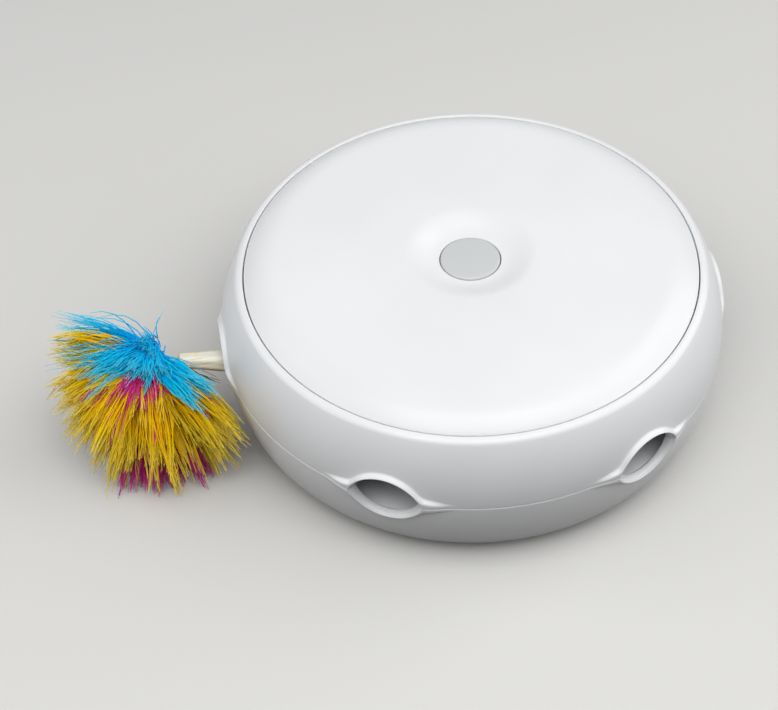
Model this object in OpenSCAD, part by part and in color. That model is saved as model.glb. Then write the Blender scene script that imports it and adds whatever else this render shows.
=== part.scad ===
// Automatic cat feather toy: a round housing with six ports and a feather that reaches out of one.
// Millimetres. The housing's vertical axis is Z, the floor is z = 0, and the feather points along -X.

/* [Housing] */
// Largest diameter of the housing, at the parting line
body_d = 200; // [196:1:212]
// Height of the parting line above the floor
parting_z = 36; // [35.5:0.5:40]
// Height of the rim of the upper shell
rim_z = 64.6; // [64:0.2:68]
// Wall thickness of the mouldings
wall = 2.4; // [2:0.1:2.8]
// Radius of the lower shell's side, in section
bowl_r = 70; // [66:1:84]
// Radius of the lower shell's bottom edge, in section
heel_r = 16; // [13:0.5:18]
// Radius of the upper shell's side, in section
shoulder_r = 54; // [50:1:64]
// Rounding of the rim, in section
rim_round = 3.6; // [2.6:0.1:4]
// Height of the base above the floor
base_z = 1; // [0.8:0.1:1.4]
// Height of the locating lip above the parting line
lip_h = 3; // [2:0.5:4]
// Thickness of the locating lip
lip_t = 1.4; // [1:0.1:1.8]

/* [Ports] */
// Number of ports around the housing
port_count = 6; // [4:1:6]
// Width of a port, from corner to corner
port_w = 26.6; // [24:0.2:30]
// Height of a port
port_h = 19; // [17:0.2:21]
// How far the lips of a port stand out from the widest part of the housing
lip_out = 1.8; // [1.2:0.1:2.6]
// Width of the brow above a port
brow_w = 2; // [1.6:0.1:3]
// Radius of the brow's arch
brow_arch = 18; // [17:0.5:24]
// Slope of the shelf on top of the brow, in degrees
brow_slope = 28; // [20:1:45]
// Width of the lip below a port
chin_w = 2; // [1.6:0.1:3]
// Radius of the lower lip's arch
chin_arch = 18; // [17:0.5:24]
// Slope of the underside of the lower lip, in degrees
chin_slope = 45; // [35:1:55]
// Width of the step inside a port
port_step = 0.9; // [0.5:0.1:1.2]
// Depth of the step inside a port
port_step_depth = 1.6; // [1:0.1:2.2]
// Width of the floor behind the ports
apron_w = 24; // [22:1:30]
// Thickness of that floor
apron_t = 1.4; // [1.2:0.1:2]

/* [Top cover] */
// Diameter of the top cover
cover_d = 177.8; // [174:0.2:179]
// Gap of the seam round the top cover
seam_gap = 0.5; // [0.3:0.1:0.8]
// Radius of the cover's edge, in section
crown_r = 20.5; // [16:0.5:24]
// Slope of the cover at the seam, in degrees
crown_slope = 43; // [38:1:48]
// Slope of the cover where its edge meets the dome, in degrees
dome_slope = 3; // [2:0.5:4]
// Radius of the dimple that holds the button
dimple_r = 26; // [24:0.5:30]
// Depth of the dimple
dimple_depth = 3.8; // [3:0.2:6]
// Depth of the ledge that carries the cover, below the rim
ledge_depth = 6; // [5:0.5:7]
// Width of the ledge
ledge_w = 5.4; // [4.5:0.1:6.5]
// Number of snap hooks on the cover
hook_count = 4; // [3:1:6]

/* [Button] */
// Diameter of the power button
button_d = 23.5; // [20:0.5:26]
// Gap round the button
button_gap = 0.35; // [0.3:0.05:0.5]
// Height of the button's face above the dimple's bottom
button_proud = 0.5; // [0:0.1:1.2]
// Travel of the button
button_travel = 1.5; // [1:0.1:1.8]
// Width of the flange that holds the button under the cover
button_flange = 1.8; // [1.2:0.1:2.4]

/* [Feather] */
// Turn of the carousel in the modelled pose, in degrees
rest_turn = 2.5; // [0:0.5:3]
// Drop of the feather's axis below the parting line
stem_drop = 2.2; // [1.8:0.1:2.6]
// Diameter of the sleeve at the housing
sleeve_d = 8.8; // [7:0.1:8.8]
// Diameter of the sleeve's outer end
sleeve_tip_d = 5.4; // [4:0.1:6]
// How far the sleeve reaches out of the housing
sleeve_reach = 18; // [14:0.5:22]
// Bend of the soft sleeve where it leaves its socket, in degrees
stem_bend = 11; // [0:0.5:12]
// Lie of that bend: 0 bends the sleeve to the side and 90 bends it up, in degrees
stem_lie = 64; // [45:1:90]
// Distance from the sleeve's outer end to the plume's heart
plume_reach = 12; // [10:0.5:18]
// Reach of the barbs from the plume's heart, on average
plume_r = 40; // [34:0.5:42]
// Share by which the barbs are longer in front and below, and shorter behind and above
plume_lean = 0.35; // [0:0.05:0.4]
// Sag of a barb of average reach
plume_sag = 4; // [0:0.5:6]

/* [Drive] */
// Module of the turning gears
turn_module = 0.8; // [0.8:0.05:0.85]
// Teeth of the turntable gear
table_teeth = 120; // [114:6:120]
// Teeth of the idler's small gear
idler_small_teeth = 12; // [11:1:13]
// Teeth of the idler's large gear
idler_large_teeth = 40; // [36:1:42]
// Teeth of the turning motor's pinion
motor_teeth = 10; // [10:1:12]
// Module of the rack and its pinion
rack_module = 1; // [0.9:0.05:1]
// Teeth of the rack's pinion
rack_pinion_teeth = 12; // [12:1:13]
// Share of the pitch that a tooth fills
tooth_fill = 0.42; // [0.38:0.01:0.44]
// Direction of the idler from the housing's axis, in degrees
idler_az = 250; // [246:1:254]
// Direction of the turning motor from the idler, in degrees
motor_az = 160; // [155:1:165]

/* [Power] */
// Diameter of a cell
cell_d = 14.2; // [13.8:0.1:14.5]
// Length of a cell
cell_l = 50.5; // [49:0.5:51]
// Number of cells
cell_count = 3; // [2:1:3]
// Room for the contacts at each end of the cells
contact_room = 3.2; // [2.6:0.1:3.6]
// Thickness of the battery door
door_t = 2; // [1.6:0.1:2.4]

/* [Clearances] */
// Clearance round mouldings that fit into each other
fit_gap = 0.15; // [0.1:0.05:0.2]
// Clearance between pieces that move past each other
move_gap = 0.3; // [0.3:0.05:0.4]
// Radial clearance of a shaft in its bearing
shaft_gap = 0.05; // [0.02:0.01:0.1]

/* [Hidden] */
$fn = 96;
over = 1;
reach = 400;

// Section of the housing
body_r = body_d / 2;
bowl_c = [body_r - bowl_r, parting_z];
heel_cz = base_z + heel_r;
heel_c = [bowl_c[0] + sqrt(pow(bowl_r - heel_r, 2) - pow(parting_z - heel_cz, 2)), heel_cz];
heel_a = atan2(heel_c[1] - bowl_c[1], heel_c[0] - bowl_c[0]);
shoulder_c = [body_r - shoulder_r, parting_z];
rim_cz = rim_z - rim_round;
rim_c = [shoulder_c[0] + sqrt(pow(shoulder_r - rim_round, 2) - pow(rim_cz - parting_z, 2)), rim_cz];
rim_a = atan2(rim_c[1] - shoulder_c[1], rim_c[0] - shoulder_c[0]);
floor_z = base_z + wall;
cover_r = cover_d / 2;
ledge_z = rim_z - ledge_depth;
ledge_t = 2;
ledge_in = cover_r + seam_gap - ledge_w;
inner_r = body_r - wall;

// Ports
port_arc = (pow(port_w / 2, 2) + pow(port_h / 2, 2)) / port_h;
port_drop = port_arc - port_h / 2;
hood_r = body_r + lip_out;
hood_depth = 14;
port_azimuths = [for (i = [0:port_count - 1]) 180 + i * 360 / port_count];

// Screws that join the shells
shell_screw_r = 80;
boss_r = 4;
shell_screw_azimuths = [for (a = port_azimuths) a + 180 / port_count];
screw_core_r = 1.25;
screw_hole_r = screw_core_r + shaft_gap;
screw_pass_r = screw_core_r + 0.4;
screw_head_r = 2.8;
screw_head_h = 2.2;
screw_well_r = screw_head_r + 0.4;
screw_seat_z = parting_z - 12;
screw_grip = 11;
boss_h = screw_grip + 5;
boss_rib_half = 1;
boss_rib_low = 0.6;
boss_rib_in = 0.8;

// Floor behind the ports, on shoulders of the screw towers
apron_top = parting_z - port_h / 2;
apron_z = apron_top - apron_t;
apron_out = bowl_c[0] + sqrt(pow(bowl_r - wall, 2) - pow(parting_z - apron_z, 2)) - 2 * fit_gap;
apron_in = apron_out - apron_w;
apron_seat_r = boss_r + 1.2;

// Foot ring
foot_in = 67.5;
foot_out = 74.5;
foot_seat = 1;

// Cover
cover_z = rim_z - 0.2;
crown_c = [cover_r - crown_r * sin(crown_slope), cover_z - crown_r * cos(crown_slope)];
dome_start = [crown_c[0] + crown_r * sin(dome_slope), crown_c[1] + crown_r * cos(dome_slope)];
dome_r = (dome_start[0] - dimple_r) / sin(dome_slope);
crown_z = dome_start[1] + dome_r * (1 - cos(dome_slope));
dimple_z = crown_z - dimple_depth;
button_r = button_d / 2;
button_hole_r = button_r + button_gap;
dimple_flat_r = button_hole_r + 0.8;
skirt_slope = asin((cover_r - wall - crown_c[0]) / (crown_r - wall));
hook_t = 1.8;
hook_barb = 1.2;
hook_span = 12;
hook_top = crown_c[1] + sqrt(pow(crown_r - wall / 2, 2) - pow(ledge_in - crown_c[0], 2));

// Button and board
button_z = dimple_z + button_proud;
flange_top = dimple_z - wall - move_gap;
flange_t = 1.2;
post_r = 3;
board_t = 1.6;
switch_h = 5;
switch_w = 8;
plunger_r = 2.2;
plunger_h = 2;
post_h = 1.3;
board_z = flange_top - flange_t - post_h - plunger_h - switch_h - board_t;
board_x = 56;
board_y = 40;
board_hole = [24, 16];
board_boss_r = 3;
board_screw_l = 7;
board_head_r = 2.4;
board_head_h = 1.4;
chip_at = [8, -13];
chip_size = [8, 5, 1.5];
switch_floor = 0.6;
board_spots = [for (x = [-1, 1], y = [-1, 1]) [x * board_hole[0], y * board_hole[1]]];

// Carousel, from the feather's axis down
stem_z = parting_z - stem_drop;
sleeve_r = sleeve_d / 2;
table_top = stem_z - sleeve_r - 0.4;
table_t = 2;
table_r = 46;
table_z = table_top - table_t;
gear_t = 2.6;
gear_z = table_z - gear_t;
gear_in = 38;
table_head_r = 2.2;
table_head_h = 1.2;
deck_top = gear_z - 1;
deck_t = 2.2;
deck_z = deck_top - deck_t;
deck_r = 63;
hub_r = 9;
spindle_r = 3;
bush_r = 4.6;
bush_flange_r = 7;
bush_flange_t = 0.5;
bush_l = 10;
deck_boss_r = 7.6;
clip_t = 0.8;
clip_r = 5.6;
spindle_end = 1;
bush_bottom = deck_z - bush_l;
ring_t = 0.3;
ring_w = 2.4;
ring_radii = [15.2, 20.2];
brush_w = 2;
brush_l = 5;

// Turning train
idler_d = turn_module * (table_teeth + idler_small_teeth) / 2;
idler_pos = [idler_d * cos(idler_az), idler_d * sin(idler_az)];
motor_d = turn_module * (idler_large_teeth + motor_teeth) / 2;
motor_pos = idler_pos + [motor_d * cos(motor_az), motor_d * sin(motor_az)];
table_phase = rest_turn;
idler_phase = mesh_phase(table_phase, idler_az, table_teeth, idler_small_teeth);
motor_phase = mesh_phase(idler_phase, motor_az, idler_large_teeth, motor_teeth);
motor_r = 12.2;
motor_h = 12.3;
motor_top = floor_z + motor_h;
motor_cup_t = 1.6;
motor_cup_h = 5;
motor_boss_r = 3;
motor_boss_h = 0.8;
motor_shaft_r = 1;
motor_end_t = 2;
wheel_z = motor_top + motor_boss_h + 0.4;
wheel_t = 3;
axle_r = 1.5;
axle_bottom = floor_z + 2.6;
axle_post_t = 1.8;
axle_top = table_z + 1.4;
idler_top = table_z + 1;
idler_hole_r = turn_module * idler_small_teeth / 2 + turn_module + 0.8;
deck_post_r = 3.5;
deck_post_d = 57;
deck_post_azimuths = [45, 135, 195, 315];
deck_spots = [for (a = deck_post_azimuths) [deck_post_d * cos(a), deck_post_d * sin(a)]];
deck_screw_l = 9;
deck_head_h = 1.8;

// Rack and its drive, in the carousel's own frame
rack_half = 4;
rack_flange_half = 6;
rack_z = table_top + move_gap;
rack_flange_t = 2;
rack_body_h = 5.7;
rack_pitch_z = rack_z + rack_body_h;
rack_pitch = PI * rack_module;
pinion_r = rack_module * rack_pinion_teeth / 2;
pinion_x = 2;
pinion_z = rack_pitch_z + pinion_r;
pinion_w = 7;
socket_clear = 8;
socket_l = 12;
socket_out = body_r - socket_clear;
socket_in = socket_out - socket_l;
socket_over = 4.6;
socket_top = stem_z + socket_over;
plug_r = 2.5;
plug_l = 8;
rack_tail = 4;
rack_back = pinion_x + rack_tail;
rail_in = rack_flange_half + move_gap;
rail_w = 3;
rail_l = 88;
keeper_z = rack_z + rack_flange_t + move_gap;
keeper_t = 1.6;
keeper_in = sleeve_r + 2 * move_gap;
keeper_spans = [[-44, -8], [13, 44]];
keeper_screw_r = 0.8;
keeper_pass_r = keeper_screw_r + 0.2;
keeper_screw_inset = 5;
small_head_r = 1.4;
small_head_h = 0.8;
gearbox_x = 12;
gearbox_h = 10;
gearbox_l = 9;
can_l = 15;
can_r = 6;
gearbox_y = 10;
gearbox_end_t = 2;
can_y = gearbox_y + gearbox_l;
shaft_r = 1.5;
shaft_out = -9.6;
bearing_y = -10.2;
bearing_t = 3;
bearing_half = 4;
saddle_half = 7;
saddle_y = rail_in + rail_w + 0.4;
saddle_end = can_y + can_l - 2;
strap_t = 1.4;
strap_w = 6;
strap_y = can_y + 4;
strap_foot = 6;
foot_screw_x = gearbox_x / 2 + strap_t + strap_foot / 2;

// Battery bay
cell_pitch = cell_d + 0.8;
cell_gap = 0.6;
bay_x = 10.9;
bay_w = cell_count * cell_pitch;
bay_l = cell_l + 2 * contact_room;
bay_wall = 1.6;
door_top = base_z + door_t;
cell_z = door_top + cell_gap + cell_d / 2;
bay_ceiling = cell_z + cell_d / 2 + 0.4;
bay_top = bay_ceiling + 1.4;
door_ledge = 1.6;
door_ledge_t = 1.6;
door_gap = 0.3;
door_head_seat = 1.2;
door_head_h = 1;
tab_w = 10;
tab_l = 8;
tab_screw_x = bay_x + bay_w + bay_wall + 3.6;
tab_boss_h = 8;
tab_boss_r = 3.2;
tongue_w = 7;
tongue_t = 1.4;
tongue_y = 15;
contact_t = 0.4;
contact_w = 9;
contact_bump = contact_room - contact_t - move_gap;

// Plume
core_r = 8;
core_in = 4.3;
knot_r = 4;
quill_r = 1.5;
bend_lead = 1.35;
bend_x = socket_out + fit_gap + bend_lead;
bend_r = 14;
bend_lap = 4;
neck_r = sleeve_r - 0.15;
bend_side = [0, cos(stem_lie), sin(stem_lie)];
sleeve_l = (body_r + sleeve_reach - bend_x - bend_r * sin(stem_bend)) / cos(stem_bend);
plume_l = sleeve_l + plume_reach;
stem_dir = [cos(stem_bend), 0, 0] - sin(stem_bend) * bend_side;
core_c = [-bend_x - bend_r * sin(stem_bend), 0, stem_z] + bend_r * (1 - cos(stem_bend)) * bend_side
    - plume_l * stem_dir;
lean_dir = unit([-0.25, -0.75, -0.6]);
floor_clear = 2;
quill_clear = 33;
short_clear = 46;
short_barb = 9;
shell_clear = 3.4;
band_gap = 0.6;
ring_t1 = 0.36;
ring_t2 = 0.7;
ring_w1 = 0.4;
ring_w2 = 0.2;

// Points of an arc from angle a0 to angle a1
function arc(c, r, a0, a1, n) =
    [for (i = [0:n]) let (a = a0 + (a1 - a0) * i / n) [c[0] + r * cos(a), c[1] + r * sin(a)]];

function unit(v) = v / norm(v);

// Angle of a gear's tooth so that it meshes with a gear of n1 teeth and phase a1 that lies opposite az
function mesh_phase(a1, az, n1, n2) = az + 180 - (0.5 - (az - a1) * n1 / 360) * 360 / n2;

// Involute angle at radius r of a gear with base radius rb, in degrees
function involute(r, rb) = r <= rb ? 0 : let (a = acos(rb / r)) tan(a) * 180 / PI - a;

// Outline of a spur gear with short teeth, one tooth centred on angle 0
function gear_points(m, n) =
    let (rp = m * n / 2, ra = rp + 0.75 * m, rf = rp - 1.1 * m, rb = rp * cos(20), rs = max(rb, rf))
    let (half = tooth_fill * 180 / n + involute(rp, rb))
    let (radii = [rf, rs, rs + (ra - rs) / 2, ra])
    [for (k = [0:n - 1], side = [-1, 1], i = [0:3])
        let (r = radii[side < 0 ? i : 3 - i])
        let (a = 360 * k / n + side * (half - involute(r, rb)))
        [r * cos(a), r * sin(a)]];

module gear(m, n, t, bore) {
    linear_extrude(t)
        difference() {
            polygon(gear_points(m, n));
            circle(bore);
        }
}

// Puts children on the carousel, in the modelled pose
module carousel() {
    rotate([0, 0, rest_turn])
        children();
}

// A round bar along X
module x_bar(x0, x1, z, r) {
    translate([x0, 0, z])
        rotate([0, 90, 0])
            cylinder(r = r, h = x1 - x0);
}

// A round bar along Y
module y_bar(x, y0, y1, z, r) {
    translate([x, y0, z])
        rotate([-90, 0, 0])
            cylinder(r = r, h = y1 - y0);
}

// A box from one corner to the other
module block(a, b) {
    translate(a)
        cube(b - a);
}

// A screw with its head at the bottom, pointing up
module screw_up(pos, seat, len, core, head_r, head_h) {
    translate([pos[0], pos[1], seat - head_h])
        cylinder(r = head_r, h = head_h);
    translate([pos[0], pos[1], seat])
        cylinder(r = core, h = len);
}

// A screw with its head on top, pointing down
module screw_down(pos, seat, len, core, head_r, head_h) {
    translate([pos[0], pos[1], seat])
        cylinder(r = head_r, h = head_h);
    translate([pos[0], pos[1], seat - len])
        cylinder(r = core, h = len);
}

// The lens-shaped way through one port, larger all round by grow
module port_way(az, grow, x0) {
    rotate([0, 0, az])
        intersection() {
            x_bar(x0, hood_r + over, parting_z - port_drop, port_arc + grow);
            x_bar(x0, hood_r + over, parting_z + port_drop, port_arc + grow);
        }
}

module ports() {
    for (az = port_azimuths) {
        port_way(az, 0, inner_r - hood_depth);
        port_way(az, port_step, hood_r - port_step_depth);
    }
}

// A raised arch round a port: the brow above the parting line, or the lip below it
module hood(az, arch, width, slope, side) {
    z = parting_z + side * (port_h / 2 + width - arch);
    z0 = side > 0 ? parting_z : parting_z - reach;
    intersection() {
        rotate([0, 0, az])
            translate([hood_r - hood_depth, 0, z])
                rotate([0, 90, 0])
                    cylinder(r1 = arch + hood_depth * tan(slope), r2 = arch, h = hood_depth);
        translate([0, 0, z0])
            cylinder(r = hood_r, h = reach);
    }
}

module around(azimuths, r) {
    for (az = azimuths)
        rotate([0, 0, az])
            translate([r, 0, 0])
                children();
}

module lower_outside() {
    rotate_extrude()
        polygon(concat(
            [[0, base_z]],
            arc(heel_c, heel_r, -90, heel_a, 8),
            [for (i = [1:6]) arc(bowl_c, bowl_r, heel_a, 0, 6)[i]],
            [[0, parting_z]]));
}

module lower_inside() {
    rotate_extrude()
        polygon(concat(
            [[0, floor_z]],
            arc(heel_c, heel_r - wall, -90, heel_a, 8),
            [for (i = [1:6]) arc(bowl_c, bowl_r - wall, heel_a, 0, 6)[i]],
            [[inner_r, parting_z + over], [0, parting_z + over]]));
}

module locating_lip() {
    out = inner_r - fit_gap;
    root = body_r - wall / 2;
    rotate_extrude()
        polygon([[out - lip_t, parting_z - lip_h], [root, parting_z - 2 * lip_h], [root, parting_z],
            [out, parting_z], [out, parting_z + lip_h], [out - lip_t, parting_z + lip_h]]);
}

module bay_box(grow, z0, z1) {
    block([bay_x - grow, -bay_l / 2 - grow, z0], [bay_x + bay_w + grow, bay_l / 2 + grow, z1]);
}

module door_outline(grow, z0, z1) {
    bay_box(bay_wall + grow, z0, z1);
    tab = tab_w / 2 + grow;
    block([tab_screw_x - tab_l, -tab, z0], [tab_screw_x + tab_l / 2 + grow, tab, z1]);
}

// What stands on the floor of the lower shell
module lower_fittings() {
    bay_box(bay_wall, base_z, bay_top);
    around(shell_screw_azimuths, shell_screw_r)
        translate([0, 0, floor_z - over]) {
            cylinder(r = boss_r, h = parting_z - floor_z + over);
            cylinder(r = apron_seat_r, h = apron_z - floor_z + over);
        }
    for (p = deck_spots)
        translate([p[0], p[1], floor_z - over])
            cylinder(r = deck_post_r, h = deck_z - floor_z + over);
    translate([idler_pos[0], idler_pos[1], floor_z - over])
        cylinder(r = axle_r + axle_post_t, h = wheel_z - move_gap - floor_z + over);
    translate([motor_pos[0], motor_pos[1], floor_z - over])
        cylinder(r = motor_r + fit_gap + motor_cup_t, h = motor_cup_h + over);
    translate([tab_screw_x, 0, door_top])
        cylinder(r = tab_boss_r, h = tab_boss_h);
}

module lower_cuts() {
    bay_box(0, door_top + door_ledge_t, bay_ceiling);
    bay_box(bay_wall - door_ledge, base_z - over, bay_ceiling);
    door_outline(door_gap, base_z - over, door_top);
    translate([tab_screw_x, 0, door_top])
        cylinder(r = screw_hole_r, h = tab_boss_h - 1);
    around(shell_screw_azimuths, shell_screw_r) {
        cylinder(r = screw_pass_r, h = parting_z + over);
        cylinder(r = screw_well_r, h = screw_seat_z);
    }
    for (p = deck_spots)
        translate([p[0], p[1], deck_z - deck_screw_l])
            cylinder(r = screw_hole_r, h = deck_screw_l + over);
    translate([idler_pos[0], idler_pos[1], axle_bottom])
        cylinder(r = axle_r + shaft_gap, h = parting_z);
    translate([motor_pos[0], motor_pos[1], floor_z])
        cylinder(r = motor_r + fit_gap, h = parting_z);
    translate([0, 0, base_z - over])
        difference() {
            cylinder(r = foot_out, h = foot_seat + over);
            cylinder(r = foot_in, h = foot_seat + over);
        }
}

module lower_shell() {
    color("white")
        difference() {
            union() {
                difference() {
                    union() {
                        lower_outside();
                        for (az = port_azimuths)
                            hood(az, chin_arch, chin_w, chin_slope, -1);
                    }
                    lower_inside();
                }
                locating_lip();
                lower_fittings();
            }
            ports();
            lower_cuts();
        }
}

module port_apron() {
    color("white")
        translate([0, 0, apron_z])
            difference() {
                cylinder(r = apron_out, h = apron_t);
                translate([0, 0, -over]) {
                    cylinder(r = apron_in, h = apron_t + 2 * over);
                    around(shell_screw_azimuths, shell_screw_r)
                        cylinder(r = boss_r + fit_gap, h = apron_t + 2 * over);
                }
            }
}

module upper_outside() {
    rotate_extrude()
        polygon(concat(
            [[0, parting_z]],
            arc(shoulder_c, shoulder_r, 0, rim_a, 7),
            [for (i = [1:6]) arc(rim_c, rim_round, rim_a, 90, 6)[i]],
            [[0, rim_z]]));
}

module upper_inside() {
    under = ledge_z - ledge_t;
    a = asin((under - parting_z) / (shoulder_r - wall));
    rotate_extrude()
        polygon(concat(
            [[0, parting_z - over], [inner_r, parting_z - over]],
            arc(shoulder_c, shoulder_r - wall, 0, a, 6),
            [[ledge_in, under], [ledge_in, ledge_z], [cover_r + seam_gap, ledge_z],
                [cover_r + seam_gap, rim_z + over], [0, rim_z + over]]));
}

// Screw bosses of the upper shell, each with a rib to the wall
module upper_bosses() {
    around(shell_screw_azimuths, shell_screw_r) {
        translate([0, 0, parting_z])
            cylinder(r = boss_r, h = boss_h);
        block([0, -boss_rib_half, parting_z + lip_h + boss_rib_low],
            [inner_r - shell_screw_r - boss_rib_in, boss_rib_half, parting_z + boss_h]);
    }
}

module upper_shell() {
    color("white")
        difference() {
            union() {
                difference() {
                    union() {
                        upper_outside();
                        for (az = port_azimuths)
                            hood(az, brow_arch, brow_w, brow_slope, 1);
                    }
                    upper_inside();
                }
                upper_bosses();
            }
            ports();
            around(shell_screw_azimuths, shell_screw_r)
                translate([0, 0, parting_z - over])
                    cylinder(r = screw_hole_r, h = screw_grip + 2 * over);
        }
}

function ease(u) = u * u * (3 - 2 * u);

// Top of the cover in section, from the button hole outwards, lowered by drop
function dimple_curve(drop) =
    [for (i = [0:10]) let (u = 1 - i / 10)
        [dimple_r - (dimple_r - dimple_flat_r) * u, crown_z - dimple_depth * ease(u) - drop]];

function dome_curve(drop) =
    [for (i = [1:4]) let (s = dome_slope * i / 4)
        [dimple_r + dome_r * sin(s), crown_z - dome_r * (1 - cos(s)) - drop]];

function crown_curve(r, slope) =
    [for (i = [1:8]) let (s = dome_slope + (slope - dome_slope) * i / 8)
        [crown_c[0] + r * sin(s), crown_c[1] + r * cos(s)]];

function reversed(list) = [for (i = [len(list) - 1:-1:0]) list[i]];

module cover_hooks() {
    under = ledge_z - ledge_t - fit_gap;
    out = ledge_in - move_gap;
    for (i = [0:hook_count - 1])
        rotate([0, 0, 45 + i * 360 / hook_count - hook_span / 2])
            rotate_extrude(angle = hook_span)
                polygon([[out - hook_t, hook_top], [out - hook_t, under - 3], [out, under - 3],
                    [out + hook_barb, under - 1], [out + hook_barb, under], [out, under],
                    [out, hook_top]]);
}

module top_cover() {
    color("white")
        difference() {
            union() {
                rotate_extrude()
                    polygon(concat(
                        [[button_hole_r, dimple_z - wall], [button_hole_r, dimple_z]],
                        dimple_curve(0), dome_curve(0), crown_curve(crown_r, crown_slope),
                        [[cover_r, ledge_z], [cover_r - wall, ledge_z]],
                        reversed(concat(dimple_curve(wall), dome_curve(wall),
                            crown_curve(crown_r - wall, skirt_slope)))));
                cover_hooks();
                for (p = board_spots)
                    translate([p[0], p[1], board_z + board_t])
                        cylinder(r = board_boss_r, h = crown_z - wall / 2 - board_z - board_t);
            }
            for (p = board_spots)
                translate([p[0], p[1], board_z])
                    cylinder(r = screw_hole_r, h = board_t + board_screw_l);
        }
}

module foot_ring() {
    color("dimgray")
        difference() {
            cylinder(r = foot_out - fit_gap, h = base_z + foot_seat);
            translate([0, 0, -over])
                cylinder(r = foot_in + fit_gap, h = base_z + foot_seat + 2 * over);
        }
}

module battery_door() {
    inside = bay_wall - door_ledge - door_gap;
    color("white")
        difference() {
            union() {
                door_outline(0, base_z, door_top);
                for (y = [-tongue_y, tongue_y]) {
                    z = door_top + door_ledge_t + fit_gap;
                    block([bay_x - inside, y - tongue_w / 2, door_top - over],
                        [bay_x - inside + tongue_t, y + tongue_w / 2, z + tongue_t]);
                }
            }
            translate([tab_screw_x, 0, base_z - over])
                cylinder(r = screw_pass_r, h = door_t + 2 * over);
            translate([tab_screw_x, 0, base_z - over])
                cylinder(r = screw_head_r + door_gap, h = over + door_head_seat);
        }
}

module battery_door_screw() {
    color("silver")
        screw_up([tab_screw_x, 0], base_z + door_head_seat, tab_boss_h - 2, screw_core_r, screw_head_r,
            door_head_h);
}

// One cell along Y, its plus end towards dir
module cell(x, dir) {
    nub_r = 2.7;
    nub_l = 1;
    body = cell_l - nub_l;
    y0 = dir > 0 ? -cell_l / 2 : nub_l - cell_l / 2;
    y_bar(x, y0, y0 + body, cell_z, cell_d / 2);
    y_bar(x, -cell_l / 2, cell_l / 2, cell_z, nub_r);
}

module battery_cells() {
    color("goldenrod")
        for (i = [0:cell_count - 1])
            cell(bay_x + cell_pitch * (i + 0.5), i % 2 == 0 ? 1 : -1);
}

// A leaf contact on the bay's end wall, with its bowed tongue towards the cell
module contact(x, side) {
    half = contact_w / 2;
    wall_y = bay_l / 2 - contact_t;
    bow_r = (pow(contact_w / 3, 2) + pow(contact_bump, 2)) / (2 * contact_bump);
    mirror([0, side < 0 ? 1 : 0, 0]) {
        block([x - half, wall_y, cell_z - half], [x + half, wall_y + contact_t, cell_z + half]);
        intersection() {
            translate([x - half / 2, wall_y - contact_bump + bow_r, cell_z])
                rotate([0, 90, 0])
                    cylinder(r = bow_r, h = half);
            block([x - half, wall_y - contact_bump - over, cell_z - contact_w],
                [x + half, wall_y, cell_z + contact_w]);
        }
    }
}

module battery_contacts() {
    color("silver")
        for (i = [0:cell_count - 1], side = [-1, 1])
            contact(bay_x + cell_pitch * (i + 0.5), side);
}

module shell_screws() {
    color("silver")
        around(shell_screw_azimuths, shell_screw_r)
            screw_up([0, 0], screw_seat_z, parting_z + screw_grip - screw_seat_z,
                screw_core_r, screw_head_r, screw_head_h);
}

module chassis_plate() {
    color("gainsboro")
        difference() {
            union() {
                translate([0, 0, deck_z])
                    cylinder(r = deck_r, h = deck_t);
                translate([0, 0, bush_bottom])
                    cylinder(r = deck_boss_r, h = bush_l + over);
            }
            translate([0, 0, bush_bottom - over])
                cylinder(r = bush_r, h = bush_l + deck_t + 2 * over);
            translate([idler_pos[0], idler_pos[1], deck_z - over])
                cylinder(r = idler_hole_r, h = deck_t + 2 * over);
            for (p = deck_spots)
                translate([p[0], p[1], deck_z - over])
                    cylinder(r = screw_pass_r, h = deck_t + 2 * over);
        }
}

module chassis_screws() {
    color("silver")
        for (p = deck_spots)
            screw_down(p, deck_top, deck_t + deck_screw_l - 1, screw_core_r, screw_head_r, deck_head_h);
}

module pivot_bush() {
    color("darkgoldenrod")
        translate([0, 0, bush_bottom])
            difference() {
                union() {
                    cylinder(r = bush_r, h = bush_l + deck_t);
                    translate([0, 0, bush_l + deck_t])
                        cylinder(r = bush_flange_r, h = bush_flange_t);
                }
                translate([0, 0, -over])
                    cylinder(r = spindle_r + shaft_gap, h = reach);
            }
}

module slip_rings() {
    color("darkgoldenrod")
        for (r = ring_radii)
            translate([0, 0, deck_top])
                difference() {
                    cylinder(r = r + ring_w / 2, h = ring_t);
                    translate([0, 0, -over])
                        cylinder(r = r - ring_w / 2, h = ring_t + 2 * over);
                }
}

module turn_motor() {
    color("silver")
        translate([motor_pos[0], motor_pos[1], floor_z])
            difference() {
                union() {
                    cylinder(r = motor_r, h = motor_h);
                    cylinder(r = motor_boss_r, h = motor_h + motor_boss_h);
                }
                translate([0, 0, motor_end_t])
                    cylinder(r = motor_shaft_r + shaft_gap, h = motor_h);
            }
}

module turn_motor_shaft() {
    color("gray")
        translate([motor_pos[0], motor_pos[1], floor_z + motor_end_t + shaft_gap])
            cylinder(r = motor_shaft_r, h = wheel_z + wheel_t - floor_z - motor_end_t);
}

module turn_motor_pinion() {
    color("white")
        translate([motor_pos[0], motor_pos[1], wheel_z])
            rotate([0, 0, motor_phase])
                gear(turn_module, motor_teeth, wheel_t, motor_shaft_r);
}

module idler_axle() {
    color("gray")
        translate([idler_pos[0], idler_pos[1], axle_bottom])
            cylinder(r = axle_r, h = axle_top - axle_bottom);
}

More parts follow.
